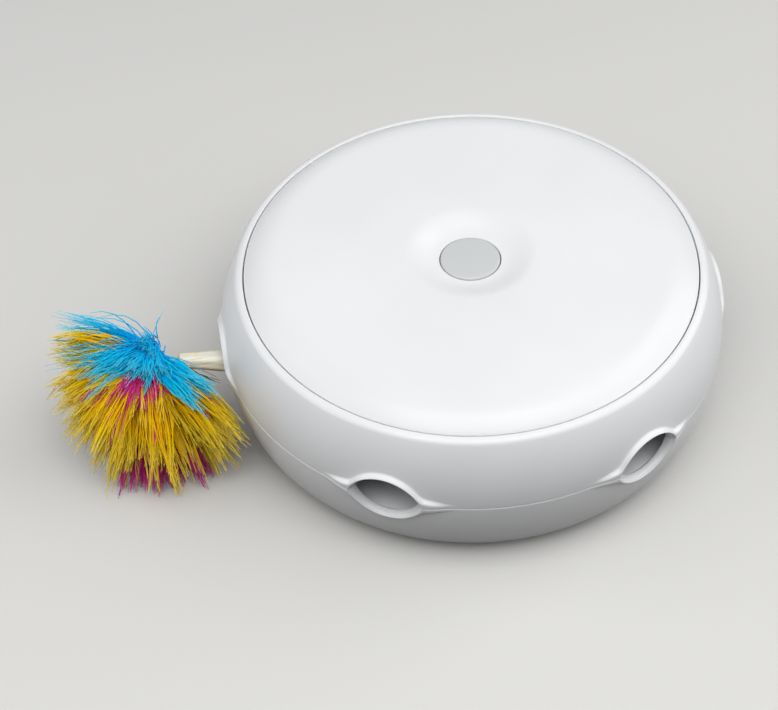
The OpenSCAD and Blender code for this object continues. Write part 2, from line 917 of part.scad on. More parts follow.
module idler_gear() {
    color("white")
        translate([idler_pos[0], idler_pos[1], wheel_z])
            rotate([0, 0, idler_phase]) {
                gear(turn_module, idler_large_teeth, wheel_t, axle_r + shaft_gap);
                gear(turn_module, idler_small_teeth, idler_top - wheel_z, axle_r + shaft_gap);
            }
}

module turntable_gear() {
    color("white")
        carousel()
            translate([0, 0, gear_z])
                gear(turn_module, table_teeth, gear_t, gear_in);
}

// Spots of the screws between turntable and gear
function table_screw_spots() =
    let (r = (gear_in + table_r) / 2)
    [for (a = [45:90:315]) [r * cos(a), r * sin(a)]];

module guide_rails() {
    for (side = [0, 1])
        mirror([0, side, 0])
            block([-rail_l / 2, rail_in, table_top - over], [rail_l / 2, rail_in + rail_w, keeper_z]);
}

module motor_saddle() {
    bottom = pinion_z - gearbox_h / 2;
    block([pinion_x - saddle_half, saddle_y, table_top - over],
        [pinion_x + saddle_half, saddle_end, bottom]);
    block([pinion_x - foot_screw_x - strap_foot / 2, strap_y, table_top - over],
        [pinion_x + foot_screw_x + strap_foot / 2, strap_y + strap_w, bottom]);
}

module shaft_bearing() {
    block([pinion_x - bearing_half, bearing_y, table_top - over],
        [pinion_x + bearing_half, bearing_y + bearing_t, pinion_z]);
    y_bar(pinion_x, bearing_y, bearing_y + bearing_t, pinion_z, bearing_half);
}

// Screw spots of the keepers, two on each strip
function keeper_spots() =
    [for (span = keeper_spans, end = [0, 1], side = [-1, 1])
        [span[end] + (1 - 2 * end) * keeper_screw_inset, side * (rail_in + rail_w / 2)]];

module turntable() {
    color("whitesmoke")
        carousel()
            difference() {
                union() {
                    translate([0, 0, table_z])
                        cylinder(r = table_r, h = table_t);
                    translate([0, 0, deck_top + bush_flange_t + move_gap])
                        cylinder(r = hub_r, h = table_z - deck_top - bush_flange_t);
                    guide_rails();
                    motor_saddle();
                    shaft_bearing();
                }
                translate([0, 0, deck_top])
                    cylinder(r = spindle_r, h = reach);
                y_bar(pinion_x, bearing_y - over, 0, pinion_z, shaft_r + shaft_gap);
                for (p = table_screw_spots())
                    translate([p[0], p[1], table_z - over])
                        cylinder(r = screw_pass_r, h = table_t + 2 * over);
                for (p = keeper_spots())
                    translate([p[0], p[1], table_top])
                        cylinder(r = keeper_screw_r + shaft_gap, h = keeper_z);
                for (side = [-1, 1])
                    translate([pinion_x + side * foot_screw_x, strap_y + strap_w / 2, table_top])
                        cylinder(r = keeper_screw_r + shaft_gap, h = reach);
            }
}

module turntable_screws() {
    color("silver")
        carousel()
            for (p = table_screw_spots())
                screw_down(p, table_top, table_t, screw_core_r, table_head_r, table_head_h);
}

module pivot_spindle() {
    color("gray")
        translate([0, 0, bush_bottom - move_gap - clip_t - spindle_end])
            cylinder(r = spindle_r, h = table_top - bush_bottom + move_gap + clip_t + spindle_end);
}

module spindle_clip() {
    color("dimgray")
        translate([0, 0, bush_bottom - move_gap - clip_t])
            difference() {
                cylinder(r = clip_r, h = clip_t);
                translate([0, 0, -over])
                    cylinder(r = spindle_r, h = clip_t + 2 * over);
            }
}

module brushes() {
    low = deck_top + ring_t + move_gap;
    color("darkgoldenrod")
        carousel()
            for (r = ring_radii)
                block([-brush_l / 2, -r - brush_w / 2, low], [brush_l / 2, -r + brush_w / 2, table_z]);
}

module guide_keepers() {
    color("gainsboro")
        carousel()
            difference() {
                for (span = keeper_spans, side = [0, 1])
                    mirror([0, side, 0])
                        block([span[0], keeper_in, keeper_z],
                            [span[1], rail_in + rail_w, keeper_z + keeper_t]);
                for (p = keeper_spots())
                    translate([p[0], p[1], keeper_z - over])
                        cylinder(r = keeper_pass_r, h = keeper_t + 2 * over);
            }
}

module keeper_screws() {
    color("silver")
        carousel()
            for (p = keeper_spots())
                screw_down(p, keeper_z + keeper_t, keeper_z + keeper_t - table_top - move_gap,
                    keeper_screw_r, small_head_r, small_head_h);
}

module reach_gearbox() {
    color("darkgoldenrod")
        carousel()
            difference() {
                block([pinion_x - gearbox_x / 2, gearbox_y, pinion_z - gearbox_h / 2],
                    [pinion_x + gearbox_x / 2, can_y, pinion_z + gearbox_h / 2]);
                y_bar(pinion_x, gearbox_y - over, can_y - gearbox_end_t, pinion_z, shaft_r + shaft_gap);
            }
}

// The motor can: a cylinder with two flats
module reach_motor() {
    color("silver")
        carousel()
            intersection() {
                y_bar(pinion_x, can_y, can_y + can_l, pinion_z, can_r);
                block([pinion_x - can_r, can_y, pinion_z - gearbox_h / 2],
                    [pinion_x + can_r, can_y + can_l, pinion_z + gearbox_h / 2]);
            }
}

// A strap over the motor can, with a screwed foot on each side
module motor_clamp() {
    low = pinion_z - gearbox_h / 2;
    high = pinion_z + gearbox_h / 2 + fit_gap;
    half = can_r + fit_gap;
    color("gainsboro")
        carousel()
            translate([pinion_x, strap_y, 0])
                difference() {
                    union() {
                        block([-half - strap_t, 0, low], [half + strap_t, strap_w, high + strap_t]);
                        block([-foot_screw_x - strap_foot / 2, 0, low],
                            [foot_screw_x + strap_foot / 2, strap_w, low + strap_t]);
                    }
                    block([-half, -over, low - over], [half, strap_w + over, high]);
                    for (side = [-1, 1])
                        translate([side * foot_screw_x, strap_w / 2, low - over])
                            cylinder(r = keeper_pass_r, h = strap_t + 2 * over);
                }
}

module clamp_screws() {
    low = pinion_z - gearbox_h / 2;
    color("silver")
        carousel()
            for (side = [-1, 1])
                screw_down([pinion_x + side * foot_screw_x, strap_y + strap_w / 2], low + strap_t,
                    low + strap_t - table_top - move_gap, keeper_screw_r, small_head_r, small_head_h);
}

module reach_shaft() {
    color("gray")
        carousel()
            y_bar(pinion_x, shaft_out, can_y - gearbox_end_t - shaft_gap, pinion_z, shaft_r);
}

module reach_pinion() {
    color("white")
        carousel()
            translate([pinion_x, pinion_w / 2, pinion_z])
                rotate([90, 0, 0])
                    rotate([0, 0, -90])
                        gear(rack_module, rack_pinion_teeth, pinion_w, shaft_r);
}

// Outline of the rack in section along its travel, teeth up
function rack_points() =
    let (w = tooth_fill * rack_pitch / 2, up = 0.75 * rack_module, down = 1.1 * rack_module, t = tan(20))
    let (count = floor((rack_back + socket_in) / rack_pitch) - 1)
    concat([[-socket_in, rack_z], [-socket_in, rack_pitch_z - down]],
        [for (k = [0:count - 1])
            let (x = pinion_x + rack_pitch * (k + 0.5 - count + 1))
            each [[x - w - down * t, rack_pitch_z - down], [x - w + up * t, rack_pitch_z + up],
                [x + w - up * t, rack_pitch_z + up], [x + w + down * t, rack_pitch_z - down]]],
        [[rack_back, rack_pitch_z - down], [rack_back, rack_z]]);

// The flange that runs between the rails
module rack_flange(x0, x1) {
    block([x0, -rack_flange_half, rack_z], [x1, rack_flange_half, rack_z + rack_flange_t]);
}

module slide_rack() {
    color("white")
        carousel() {
            translate([0, rack_half, 0])
                rotate([90, 0, 0])
                    linear_extrude(2 * rack_half)
                        polygon(rack_points());
            rack_flange(-socket_in, rack_back);
        }
}

module stem_socket() {
    color("whitesmoke")
        carousel()
            difference() {
                union() {
                    block([-socket_out, -rack_half, rack_z], [-socket_in, rack_half, socket_top]);
                    rack_flange(-socket_out, -socket_in);
                }
                x_bar(-socket_out - over, -socket_out + plug_l + move_gap, stem_z, plug_r + shaft_gap);
            }
}

// Places what is drawn along +Z at the start of the sleeve's bend, with +X to the side that it bends to
module at_bend() {
    translate([-bend_x, 0, stem_z])
        rotate([0, -90, 0])
            rotate([0, 0, 90 - stem_lie])
                children();
}

// Places what is drawn along +Z at the end of the sleeve's bend
module past_bend() {
    at_bend()
        translate([bend_r * (1 - cos(stem_bend)), 0, bend_r * sin(stem_bend)])
            rotate([0, stem_bend, 0])
                children();
}

module stem_sleeve() {
    color("cornsilk")
        carousel() {
            translate([0, 0, stem_z])
                rotate([0, -90, 0])
                    rotate_extrude()
                        polygon([[0, socket_out - plug_l], [plug_r, socket_out - plug_l],
                            [plug_r, socket_out + fit_gap], [sleeve_r, socket_out + fit_gap],
                            [sleeve_r, bend_x], [0, bend_x]]);
            at_bend()
                translate([bend_r, 0, 0])
                    rotate([90, 0, 0])
                        rotate([0, 0, 180 - stem_bend - bend_lap])
                            rotate_extrude(angle = stem_bend + 2 * bend_lap)
                                translate([bend_r, 0])
                                    circle(r = neck_r);
            past_bend()
                cylinder(r1 = sleeve_r, r2 = sleeve_tip_d / 2, h = sleeve_l);
        }
}

// The bound quills: a straight bundle from the sleeve to the knot in the plume's heart
module quill_binding() {
    color("khaki")
        carousel()
            past_bend() {
                translate([0, 0, sleeve_l + fit_gap])
                    cylinder(r = quill_r, h = plume_reach - fit_gap);
                translate([0, 0, plume_l])
                    sphere(r = knot_r);
            }
}

// Direction on the plume's globe at polar angle p from the top and azimuth a
function globe(p, a) = [sin(p) * cos(a), sin(p) * sin(a), cos(p)];

function stem_angle(d) = acos(min(1, d * stem_dir));

// How far direction d runs from the heart before it comes near the housing, seen from above
function to_housing(d) =
    let (keep = hood_r + shell_clear, flat = d[0] * d[0] + d[1] * d[1])
    let (along = -core_c[0] * d[0] - core_c[1] * d[1], out = pow(core_c[0], 2) + pow(core_c[1], 2))
    let (inside = along * along - flat * (out - keep * keep))
    along > 0 && inside >= 0 ? (along - sqrt(inside)) / flat : 2 * plume_r;

// How far direction d runs before its sagging barb comes near the floor
function to_floor(d) =
    d[2] < -0.01 ? (core_c[2] - floor_clear - plume_sag * pow(1 + plume_lean, 2)) / -d[2] : 2 * plume_r;

// Longest barb in direction d that stays above the floor, off the housing and short beside the sleeve
function barb_room(d) =
    min(plume_r * (1 + plume_lean * (d * lean_dir)) - core_r, to_floor(d) - core_r, to_housing(d) - core_r,
        stem_angle(d) < short_clear ? short_barb : plume_r * 2);

function plume_point(q) = core_c + q - [0, 0, plume_sag * pow(norm(q) / plume_r, 2)];

// A band of the plume between two polar angles: a slice of the core with a barb of four sides on each cell
module tuft(p0, p1, rows, cols, seed) {
    span = p1 - p0 - 2 * band_gap;
    function corner(i, j) = globe(p0 + band_gap + span * i / rows, 360 * (j % cols) / cols);
    function ring(i, j) = [corner(i, j), corner(i + 1, j), corner(i + 1, j + 1), corner(i, j + 1)];
    function middle(i, j) = unit([1, 1, 1, 1] * ring(i, j));
    function kept(i, j) = i >= 0 && i < rows && stem_angle(middle(i, j)) > quill_clear;
    function at(i, j) = i * cols + (j + cols) % cols;
    size = (rows + 1) * cols;
    grid = [for (i = [0:rows], j = [0:cols - 1]) corner(i, j)];
    cells = [for (i = [0:rows - 1], j = [0:cols - 1]) if (kept(i, j)) [i, j]];
    spread = rands(0.72, 1, len(cells), seed);
    barbs = [for (n = [0:len(cells) - 1])
        let (i = cells[n][0], j = cells[n][1], m = middle(i, j), l = barb_room(m) * spread[n])
        each concat(
            [for (c = ring(i, j)) plume_point((core_r + l * ring_t1) * (m + (c - m) * ring_w1))],
            [for (c = ring(i, j)) plume_point((core_r + l * ring_t2) * (m + (c - m) * ring_w2))],
            [plume_point((core_r + l) * m)])];
    points = concat([for (r = [core_r, core_in], d = grid) plume_point(r * d)], barbs);
    faces = [for (n = [0:len(cells) - 1])
        let (i = cells[n][0], j = cells[n][1], b = 2 * size + 9 * n)
        let (root = [at(i, j), at(i + 1, j), at(i + 1, j + 1), at(i, j + 1)])
        let (next = [[i, j - 1], [i + 1, j], [i, j + 1], [i - 1, j]])
        each concat(
            [for (k = [0:3]) let (e = (k + 1) % 4)
                each [[root[k], b + k, root[e]], [root[e], b + k, b + e], [b + k, b + 4 + k, b + e],
                    [b + e, b + 4 + k, b + 4 + e], [b + 4 + k, b + 8, b + 4 + e]]],
            [for (k = [1, 2]) [root[0] + size, root[k] + size, root[k + 1] + size]],
            [for (k = [0:3]) let (e = (k + 1) % 4)
                if (!kept(next[k][0], next[k][1]))
                    each [[root[k], root[e], root[k] + size], [root[e], root[e] + size, root[k] + size]]])];
    polyhedron(points, faces);
}

module plume_blue() {
    color("deepskyblue")
        carousel()
            tuft(8, 52, 4, 20, 11);
}

module plume_yellow() {
    color("gold")
        carousel()
            tuft(64, 132, 6, 26, 23);
}

module plume_magenta() {
    color("mediumvioletred")
        carousel() {
            tuft(52, 64, 1, 26, 37);
            tuft(132, 172, 3, 18, 41);
        }
}

module control_board() {
    color("seagreen")
        difference() {
            block([-board_x / 2, -board_y / 2, board_z], [board_x / 2, board_y / 2, board_z + board_t]);
            for (p = board_spots)
                translate([p[0], p[1], board_z - over])
                    cylinder(r = screw_pass_r, h = board_t + 2 * over);
        }
}

module controller_chip() {
    color("black")
        translate([chip_at[0], chip_at[1], board_z + board_t])
            cube(chip_size);
}

module board_screws() {
    color("silver")
        for (p = board_spots)
            screw_up(p, board_z, board_t + board_screw_l - 1, screw_core_r, board_head_r, board_head_h);
}

module push_switch() {
    low = board_z + board_t;
    color("dimgray")
        difference() {
            block([-switch_w / 2, -switch_w / 2, low], [switch_w / 2, switch_w / 2, low + switch_h]);
            translate([0, 0, low + switch_floor])
                cylinder(r = plunger_r + move_gap, h = switch_h);
        }
}

module switch_plunger() {
    low = board_z + board_t + switch_floor + button_travel + move_gap;
    color("white")
        translate([0, 0, low])
            cylinder(r = plunger_r, h = board_z + board_t + switch_h + plunger_h - low);
}

module power_button() {
    rim = 1;
    dome_h = 0.5;
    face_r = (pow(button_r - rim, 2) + pow(dome_h, 2)) / (2 * dome_h);
    color("lightgray")
        rotate_extrude()
            polygon(concat(
                [[0, flange_top - flange_t - post_h], [post_r, flange_top - flange_t - post_h],
                    [post_r, flange_top - flange_t], [button_r + button_flange, flange_top - flange_t],
                    [button_r + button_flange, flange_top], [button_r, flange_top]],
                arc([button_r - rim, button_z - rim], rim, 0, 60, 3),
                [for (i = [5:-1:0]) let (r = (button_r - rim) * i / 5)
                    [r, button_z + dome_h - face_r + sqrt(face_r * face_r - r * r)]]));
}

lower_shell();
upper_shell();
top_cover();
foot_ring();
battery_door();
battery_door_screw();
battery_cells();
battery_contacts();
shell_screws();
port_apron();
chassis_plate();
chassis_screws();
pivot_bush();
slip_rings();
turn_motor();
idler_axle();
control_board();
controller_chip();
board_screws();
push_switch();
power_button();
switch_plunger();
turntable();
turntable_gear();
turntable_screws();
pivot_spindle();
spindle_clip();
brushes();
guide_keepers();
keeper_screws();
reach_motor();
reach_gearbox();
motor_clamp();
clamp_screws();
idler_gear();
turn_motor_shaft();
turn_motor_pinion();
reach_shaft();
reach_pinion();
slide_rack();
stem_socket();
stem_sleeve();
quill_binding();
plume_blue();
plume_yellow();
plume_magenta();
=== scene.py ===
import math

import bmesh
import bpy
import numpy as np
from mathutils import Matrix, Vector


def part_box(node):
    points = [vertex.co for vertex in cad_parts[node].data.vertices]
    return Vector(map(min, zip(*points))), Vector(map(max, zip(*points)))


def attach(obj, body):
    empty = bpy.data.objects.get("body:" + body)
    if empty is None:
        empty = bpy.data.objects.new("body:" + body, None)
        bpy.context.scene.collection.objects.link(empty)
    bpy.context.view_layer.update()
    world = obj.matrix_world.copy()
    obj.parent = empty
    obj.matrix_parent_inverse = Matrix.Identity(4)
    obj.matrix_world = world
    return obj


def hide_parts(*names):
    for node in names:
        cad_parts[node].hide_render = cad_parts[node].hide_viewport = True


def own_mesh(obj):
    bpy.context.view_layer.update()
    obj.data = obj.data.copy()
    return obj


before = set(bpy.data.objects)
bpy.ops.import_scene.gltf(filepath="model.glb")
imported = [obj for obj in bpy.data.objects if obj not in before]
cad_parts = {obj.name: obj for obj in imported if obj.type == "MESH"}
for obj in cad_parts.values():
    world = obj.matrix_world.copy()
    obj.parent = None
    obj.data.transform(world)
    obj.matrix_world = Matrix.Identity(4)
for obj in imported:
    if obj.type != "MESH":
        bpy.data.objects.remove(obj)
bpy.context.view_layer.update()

# Sizes of the toy in millimetres, as in the solids
MM = 0.001
BODY_R = 100.0
PARTING_Z = 36.0
RIM_Z = 64.6
WALL = 2.4
BASE_Z = 1.0
BASE_FLAT_R = 62.0
BOWL_R = 70.0
HEEL_R = 16.0
SHOULDER_R = 54.0
RIM_ROUND = 3.6
COVER_R = 88.9
SEAM_GAP = 0.5
SEAM_Z = 62.0
LEDGE_Z = 58.6
LEDGE_R = 84.0
LEDGE_T = 2.0
PORT_COUNT = 6
PORT_W = 26.6
PORT_H = 19.0
LIP_OUT = 1.8
PORT_STEP = 0.9
STEP_DEPTH = 1.6
FOOT_IN, FOOT_OUT = 67.5, 74.5
SCREW_R = 80.0
BUTTON_R = 11.75
DIMPLE_R = 26.0
DIMPLE_DEPTH = 3.8
REST_DEG = 2.5
REST_TURN = math.radians(REST_DEG)
STEM_Z = 33.8
STEM_BEND = math.radians(11)
STEM_LIE = math.radians(64)
BEND_X = 93.5
BEND_R = 14.0
SLEEVE_END_X = 118.0
QUILL_L = 12.0


def polar(radius, degrees):
    """A place round the housing's axis."""
    a = math.radians(degrees)
    return radius * math.cos(a), radius * math.sin(a)


# The screws stand midway between the ports
SCREW_ANGLES = [360 / PORT_COUNT * (k + 0.5) for k in range(PORT_COUNT)]
SCREW_SPOTS = [polar(SCREW_R, a) for a in SCREW_ANGLES]


# Materials: the sizes of their patterns are in millimetres

# Flow marks and uneven gloss of moulded plastic
FLOW_MM, WEAR_MM = 60.0, 9.0
# Lines of drawn and turned metal: real ones are finer, and these are as coarse as they need to be to show
LINE_MM = 0.6
# Weave of the glass fibre in the board
WEAVE_MM = 1.0
# Quills seen through the sleeve, and a quill's own grain, which is finer on a real one and wouldn't show
STREAK_MM, GRAIN_MM = 1.1, 0.8
# Noise mostly lies between these two values
NOISE_LOW, NOISE_HIGH = 0.25, 0.75


def linear(code):
    """An sRGB hex colour as linear RGBA."""
    parts = [int(code[k:k + 2], 16) / 255 for k in (1, 3, 5)]
    return [c / 12.92 if c <= 0.04045 else ((c + 0.055) / 1.055) ** 2.4 for c in parts] + [1.0]


def add(tree, kind, inputs=None, **settings):
    """One node with its settings, its values and its links."""
    node = tree.nodes.new(kind)
    for key, value in settings.items():
        setattr(node, key, value)
    for key, value in (inputs or {}).items():
        if isinstance(value, bpy.types.NodeSocket):
            tree.links.new(value, node.inputs[key])
        else:
            node.inputs[key].default_value = value
    return node


def surface(name, colour, roughness, **sockets):
    """A material with one principled shader, its base colour and plain socket values."""
    mat = bpy.data.materials.new(name)
    mat.use_nodes = True
    shader = mat.node_tree.nodes["Principled BSDF"]
    shader.inputs["Base Color"].default_value = linear(colour)
    shader.inputs["Roughness"].default_value = roughness
    for key, value in sockets.items():
        shader.inputs[key.replace("_", " ")].default_value = value
    mat.diffuse_color = linear(colour)
    return mat, mat.node_tree, shader


def cloud(tree, size_mm, detail=3.0, stretch=(1, 1, 1), turn=(0, 0, 0)):
    """Noise on object coordinates with features about size_mm across."""
    place = add(tree, "ShaderNodeTexCoord")
    turned = add(tree, "ShaderNodeMapping", {"Vector": place.outputs["Object"], "Rotation": turn,
                                             "Scale": [s / (size_mm * MM) for s in stretch]})
    return add(tree, "ShaderNodeTexNoise", {"Vector": turned.outputs["Vector"], "Scale": 1.0,
                                            "Detail": detail})


def spread(tree, value, low, high):
    """Noise as a value between low and high."""
    return add(tree, "ShaderNodeMapRange", {"Value": value, "From Min": NOISE_LOW, "From Max": NOISE_HIGH,
                                            "To Min": low, "To Max": high}).outputs["Result"]


def tint(tree, shader, value, dark, light):
    """Base colour between two hex colours."""
    mix = add(tree, "ShaderNodeMix", {"Factor": value, 6: linear(dark), 7: linear(light)}, data_type="RGBA")
    tree.links.new(mix.outputs[2], shader.inputs["Base Color"])


def relief(tree, shader, height, depth_mm):
    """Fine relief of the surface, depth_mm deep."""
    bump = add(tree, "ShaderNodeBump", {"Height": height, "Distance": depth_mm * MM, "Strength": 1.0})
    tree.links.new(bump.outputs["Normal"], shader.inputs["Normal"])


def fill_ramp(ramp, stops):
    """Gives a colour ramp its stops from (place, hex colour) pairs."""
    ends = ramp.color_ramp.elements
    while len(ends) < len(stops):
        ends.new(0.5)
    for stop, (at, code) in zip(ends, stops):
        stop.position = at
        stop.color = linear(code)


def make_moulded(name, dark, light, rough, peel_mm=1.0, peel_depth=0.0, **sockets):
    """A moulded plastic: even colour with a faint flow cloud, and the grain that its mould leaves.
    Real grain is finer than peel_mm: it is drawn as coarse as it needs to be to show."""
    mat, tree, shader = surface(name, light, rough[0], **sockets)
    flow = cloud(tree, FLOW_MM)
    tint(tree, shader, spread(tree, flow.outputs["Fac"], 0.0, 1.0), dark, light)
    wear = cloud(tree, WEAR_MM, detail=2.0)
    tree.links.new(spread(tree, wear.outputs["Fac"], rough[0], rough[1]), shader.inputs["Roughness"])
    if peel_depth:
        peel = cloud(tree, peel_mm, detail=2.0)
        relief(tree, shader, peel.outputs["Fac"], peel_depth)
    return mat


# ABS, moulded in a polished tool: even gloss with clean, soft highlights
abs_white = make_moulded("abs_gloss_white", "#E4E5E7", "#EAEBEC", (0.28, 0.31), IOR=1.53)
# ABS from a sparked tool: the button's satin skin breaks up the highlight
abs_grey = make_moulded("abs_satin_grey", "#C3C5C7", "#C9CBCC", (0.36, 0.46), peel_mm=0.7,
                        peel_depth=0.015, IOR=1.53)
# Polystyrene of the inner chassis: plain, with a matt skin
styrene = make_moulded("styrene_natural", "#D2D2CE", "#DBDBD7", (0.45, 0.6), peel_mm=1.2,
                       peel_depth=0.02)
# Acetal gears and rack: waxy, with a soft gloss
acetal = make_moulded("acetal_gears", "#E2E1D8", "#ECEBE4", (0.32, 0.42), peel_mm=1.5,
                      peel_depth=0.01, IOR=1.48)
# Thermoplastic rubber: matt, with a fine grain
rubber = make_moulded("rubber_foot", "#232325", "#2C2C2E", (0.75, 0.9), peel_mm=0.6,
                      peel_depth=0.05)
# Black nylon of the switch and the chip's case: a dull satin
nylon_black = make_moulded("nylon_black", "#26272A", "#2F3033", (0.4, 0.55), peel_mm=0.8,
                           peel_depth=0.02)


def make_metal(name, dark, light, rough, stretch):
    """A metal with fine drawn or turned lines."""
    mat, tree, shader = surface(name, light, rough[0], Metallic=1.0)
    lines = cloud(tree, LINE_MM, stretch=stretch)
    tint(tree, shader, spread(tree, lines.outputs["Fac"], 0.0, 1.0), dark, light)
    tree.links.new(spread(tree, lines.outputs["Fac"], rough[0], rough[1]), shader.inputs["Roughness"])
    return mat


# Zinc-plated screws and shafts: grey, with fine upright lines
zinc_steel = make_metal("zinc_plated_steel", "#A9ABAE", "#C6C8CA", (0.25, 0.4), (1, 1, 0.2))
# Deep-drawn motor cans: brighter, with fine drawn lines
can_steel = make_metal("drawn_motor_can", "#B4B6B9", "#CBCDCF", (0.2, 0.35), (1, 0.1, 1))
# Turned brass: warm, with fine lines
brass = make_metal("turned_brass", "#B08A3E", "#CDA658", (0.25, 0.4), (1, 1, 0.15))
# Printed foil round the cells: dull gold
cell_foil = make_metal("printed_cell_foil", "#8C6A22", "#A88432", (0.3, 0.4), (1, 0.2, 1))
# Solder resist over glass fibre: green, with the weave just showing
board_mat, board_tree, board_shader = surface("solder_resist_green", "#1C5A38", 0.35)
weave = cloud(board_tree, WEAVE_MM, detail=2.0, stretch=(1, 0.3, 1))
tint(board_tree, board_shader, spread(board_tree, weave.outputs["Fac"], 0.0, 1.0), "#174E30", "#206640")

# Clear cream vinyl over yellow quills: the quills show as streaks along the sleeve
sleeve_mat, sleeve_tree, sleeve_shader = surface("cream_vinyl_over_quills", "#EFE6C4", 0.32, IOR=1.5)
streaks = cloud(sleeve_tree, STREAK_MM, stretch=(0.06, 1, 1), turn=(0, 0, -REST_TURN))
streak_ramp = add(sleeve_tree, "ShaderNodeValToRGB", {"Fac": streaks.outputs["Fac"]})
fill_ramp(streak_ramp, [(0.36, "#E9D68A"), (0.46, "#F7F2DA"), (0.62, "#FBF9EE")])
sleeve_tree.links.new(streak_ramp.outputs["Color"], sleeve_shader.inputs["Base Color"])
relief(sleeve_tree, sleeve_shader, streaks.outputs["Fac"], depth_mm=0.12)

# Dyed quill: pale keratin, a little glossy
quill_mat, quill_tree, quill_shader = surface("dyed_quill", "#E6D088", 0.4, IOR=1.54)
grain = cloud(quill_tree, GRAIN_MM, stretch=(0.1, 1, 1))
tint(quill_tree, quill_shader, spread(quill_tree, grain.outputs["Fac"], 0.0, 1.0), "#D2B450", "#EFE2B4")

HUE_LOW, HUE_HIGH = 0.488, 0.512


def make_barbs(name, stops, dim):
    """Dyed down: the colour runs from root to tip by the barb attribute, and each barb has its own tone.
    The darker root end is the dye and also painted shade, where the barbs crowd together at the heart.
    """
    mat, tree, shader = surface(name, stops[1][1], 0.8, Specular_IOR_Level=0.15, Sheen_Weight=0.6,
                                Sheen_Roughness=0.5, Sheen_Tint=linear(stops[2][1]))
    barb = add(tree, "ShaderNodeAttribute", attribute_name="barb")
    parts = add(tree, "ShaderNodeSeparateColor", {"Color": barb.outputs["Color"]})
    ramp = add(tree, "ShaderNodeValToRGB", {"Fac": parts.outputs["Red"]})
    fill_ramp(ramp, stops)
    shade = add(tree, "ShaderNodeMapRange", {"Value": parts.outputs["Green"], "To Min": dim, "To Max": 1.0})
    hue = add(tree, "ShaderNodeMapRange", {"Value": parts.outputs["Blue"], "To Min": HUE_LOW,
                                           "To Max": HUE_HIGH})
    toned = add(tree, "ShaderNodeHueSaturation", {"Color": ramp.outputs["Color"],
                                                  "Hue": hue.outputs["Result"],
                                                  "Value": shade.outputs["Result"]})
    tree.links.new(toned.outputs["Color"], shader.inputs["Base Color"])
    return mat


# Stops from root to tip: the darker root colours are the dye and also painted shade of the crowded heart
blue_down = make_barbs("dyed_down_blue",
                       [(0.0, "#00B4FF"), (0.45, "#00CCFF"), (0.75, "#10D8FF"), (1.0, "#6CE6FF")], dim=0.9)
yellow_down = make_barbs("dyed_down_yellow",
                         [(0.0, "#FF9600"), (0.35, "#FFBC00"), (0.75, "#FFD606"), (1.0, "#FFE850")], dim=0.86)
magenta_down = make_barbs("dyed_down_magenta",
                          [(0.0, "#FF1E82"), (0.5, "#FF2E8C"), (0.8, "#F83C9C"), (1.0, "#E44CAC")], dim=0.84)


# Mesh making

# Points that are closer than this become one, in metres
WELD = 1e-7


def finish_mesh(bm, name, material, smooth_angle=None):
    """Turns a bmesh into a linked object with smooth faces, sharp where the angle asks for it."""
    mesh = bpy.data.meshes.new(name)
    bm.to_mesh(mesh)
    bm.free()
    mesh.shade_smooth()
    if smooth_angle:
        mesh.set_sharp_from_angle(angle=math.radians(smooth_angle))
    mesh.materials.append(material)
    obj = bpy.data.objects.new(name, mesh)
    bpy.context.scene.collection.objects.link(obj)
    return obj


def spun(rows, steps, closed, place):
    """Spins a chain of rows once round Z, then sets each vertex by its step and row."""
    bm = bmesh.new()
    chain = [bm.verts.new((1.0, 0.0, float(j))) for j in range(rows)]
    pairs = list(zip(chain, chain[1:])) + ([(chain[-1], chain[0])] if closed else [])
    edges = [bm.edges.new(pair) for pair in pairs]
    bmesh.ops.spin(bm, geom=chain + edges, cent=(0, 0, 0), axis=(0, 0, 1), angle=2 * math.pi, steps=steps,
                   use_merge=True)
    for vert in bm.verts:
        step = round(math.atan2(vert.co.y, vert.co.x) / (2 * math.pi) * steps) % steps
        vert.co = Vector(place(step, round(vert.co.z))) * MM
    bmesh.ops.remove_doubles(bm, verts=bm.verts, dist=WELD)
    bmesh.ops.recalc_face_normals(bm, faces=bm.faces)
    return bm


def revolve(name, profile, steps, closed, material, smooth_angle):
    """A turned piece from (radius, height) points in millimetres."""
    def place(step, row):
        a = 2 * math.pi * step / steps
        r, z = profile[row]
        return (r * math.cos(a), r * math.sin(a), z)
    return finish_mesh(spun(len(profile), steps, closed, place), name, material, smooth_angle)


def arc(cx, cy, r, a0, a1, n):
    """Points of an arc, angles in degrees, both ends included."""
    angles = [math.radians(a0 + (a1 - a0) * k / n) for k in range(n + 1)]
    return [(cx + r * math.cos(a), cy + r * math.sin(a)) for a in angles]


def ease(x):
    """A smooth step from 0 to 1."""
    x = min(1.0, max(0.0, x))
    return x * x * (3 - 2 * x)


# The shells: each is spun, and its edge at the parting line opens round the six ports

# Columns in a port's sector, and those from the middle of the hole to its corner
SECTOR = 96
HALF_HOLE = 28
STEPS = PORT_COUNT * SECTOR
COLUMN_SPREAD = 0.25
# The port's outline is two arcs of radius PORT_ARC, centred PORT_DROP beyond the parting line
PORT_ARC = ((PORT_W / 2) ** 2 + (PORT_H / 2) ** 2) / PORT_H
PORT_DROP = PORT_ARC - PORT_H / 2
PART_GAP = 0.05


def lens(i, grow):
    """Along the parting line and up from it: the port's edge at column i, larger all round by grow."""
    radius = PORT_ARC + grow
    half = math.sqrt(radius ** 2 - PORT_DROP ** 2)
    if abs(i) <= HALF_HOLE:
        a = math.asin(half / radius) * i / HALF_HOLE
        return radius * math.sin(a), max(0.0, radius * math.cos(a) - PORT_DROP)
    s = (abs(i) - HALF_HOLE) / (SECTOR / 2 - HALF_HOLE)
    far = BODY_R * math.pi / PORT_COUNT
    along = half + (far - half) * (COLUMN_SPREAD * s + (1 - COLUMN_SPREAD) * s * s)
    return math.copysign(along, i), 0.0


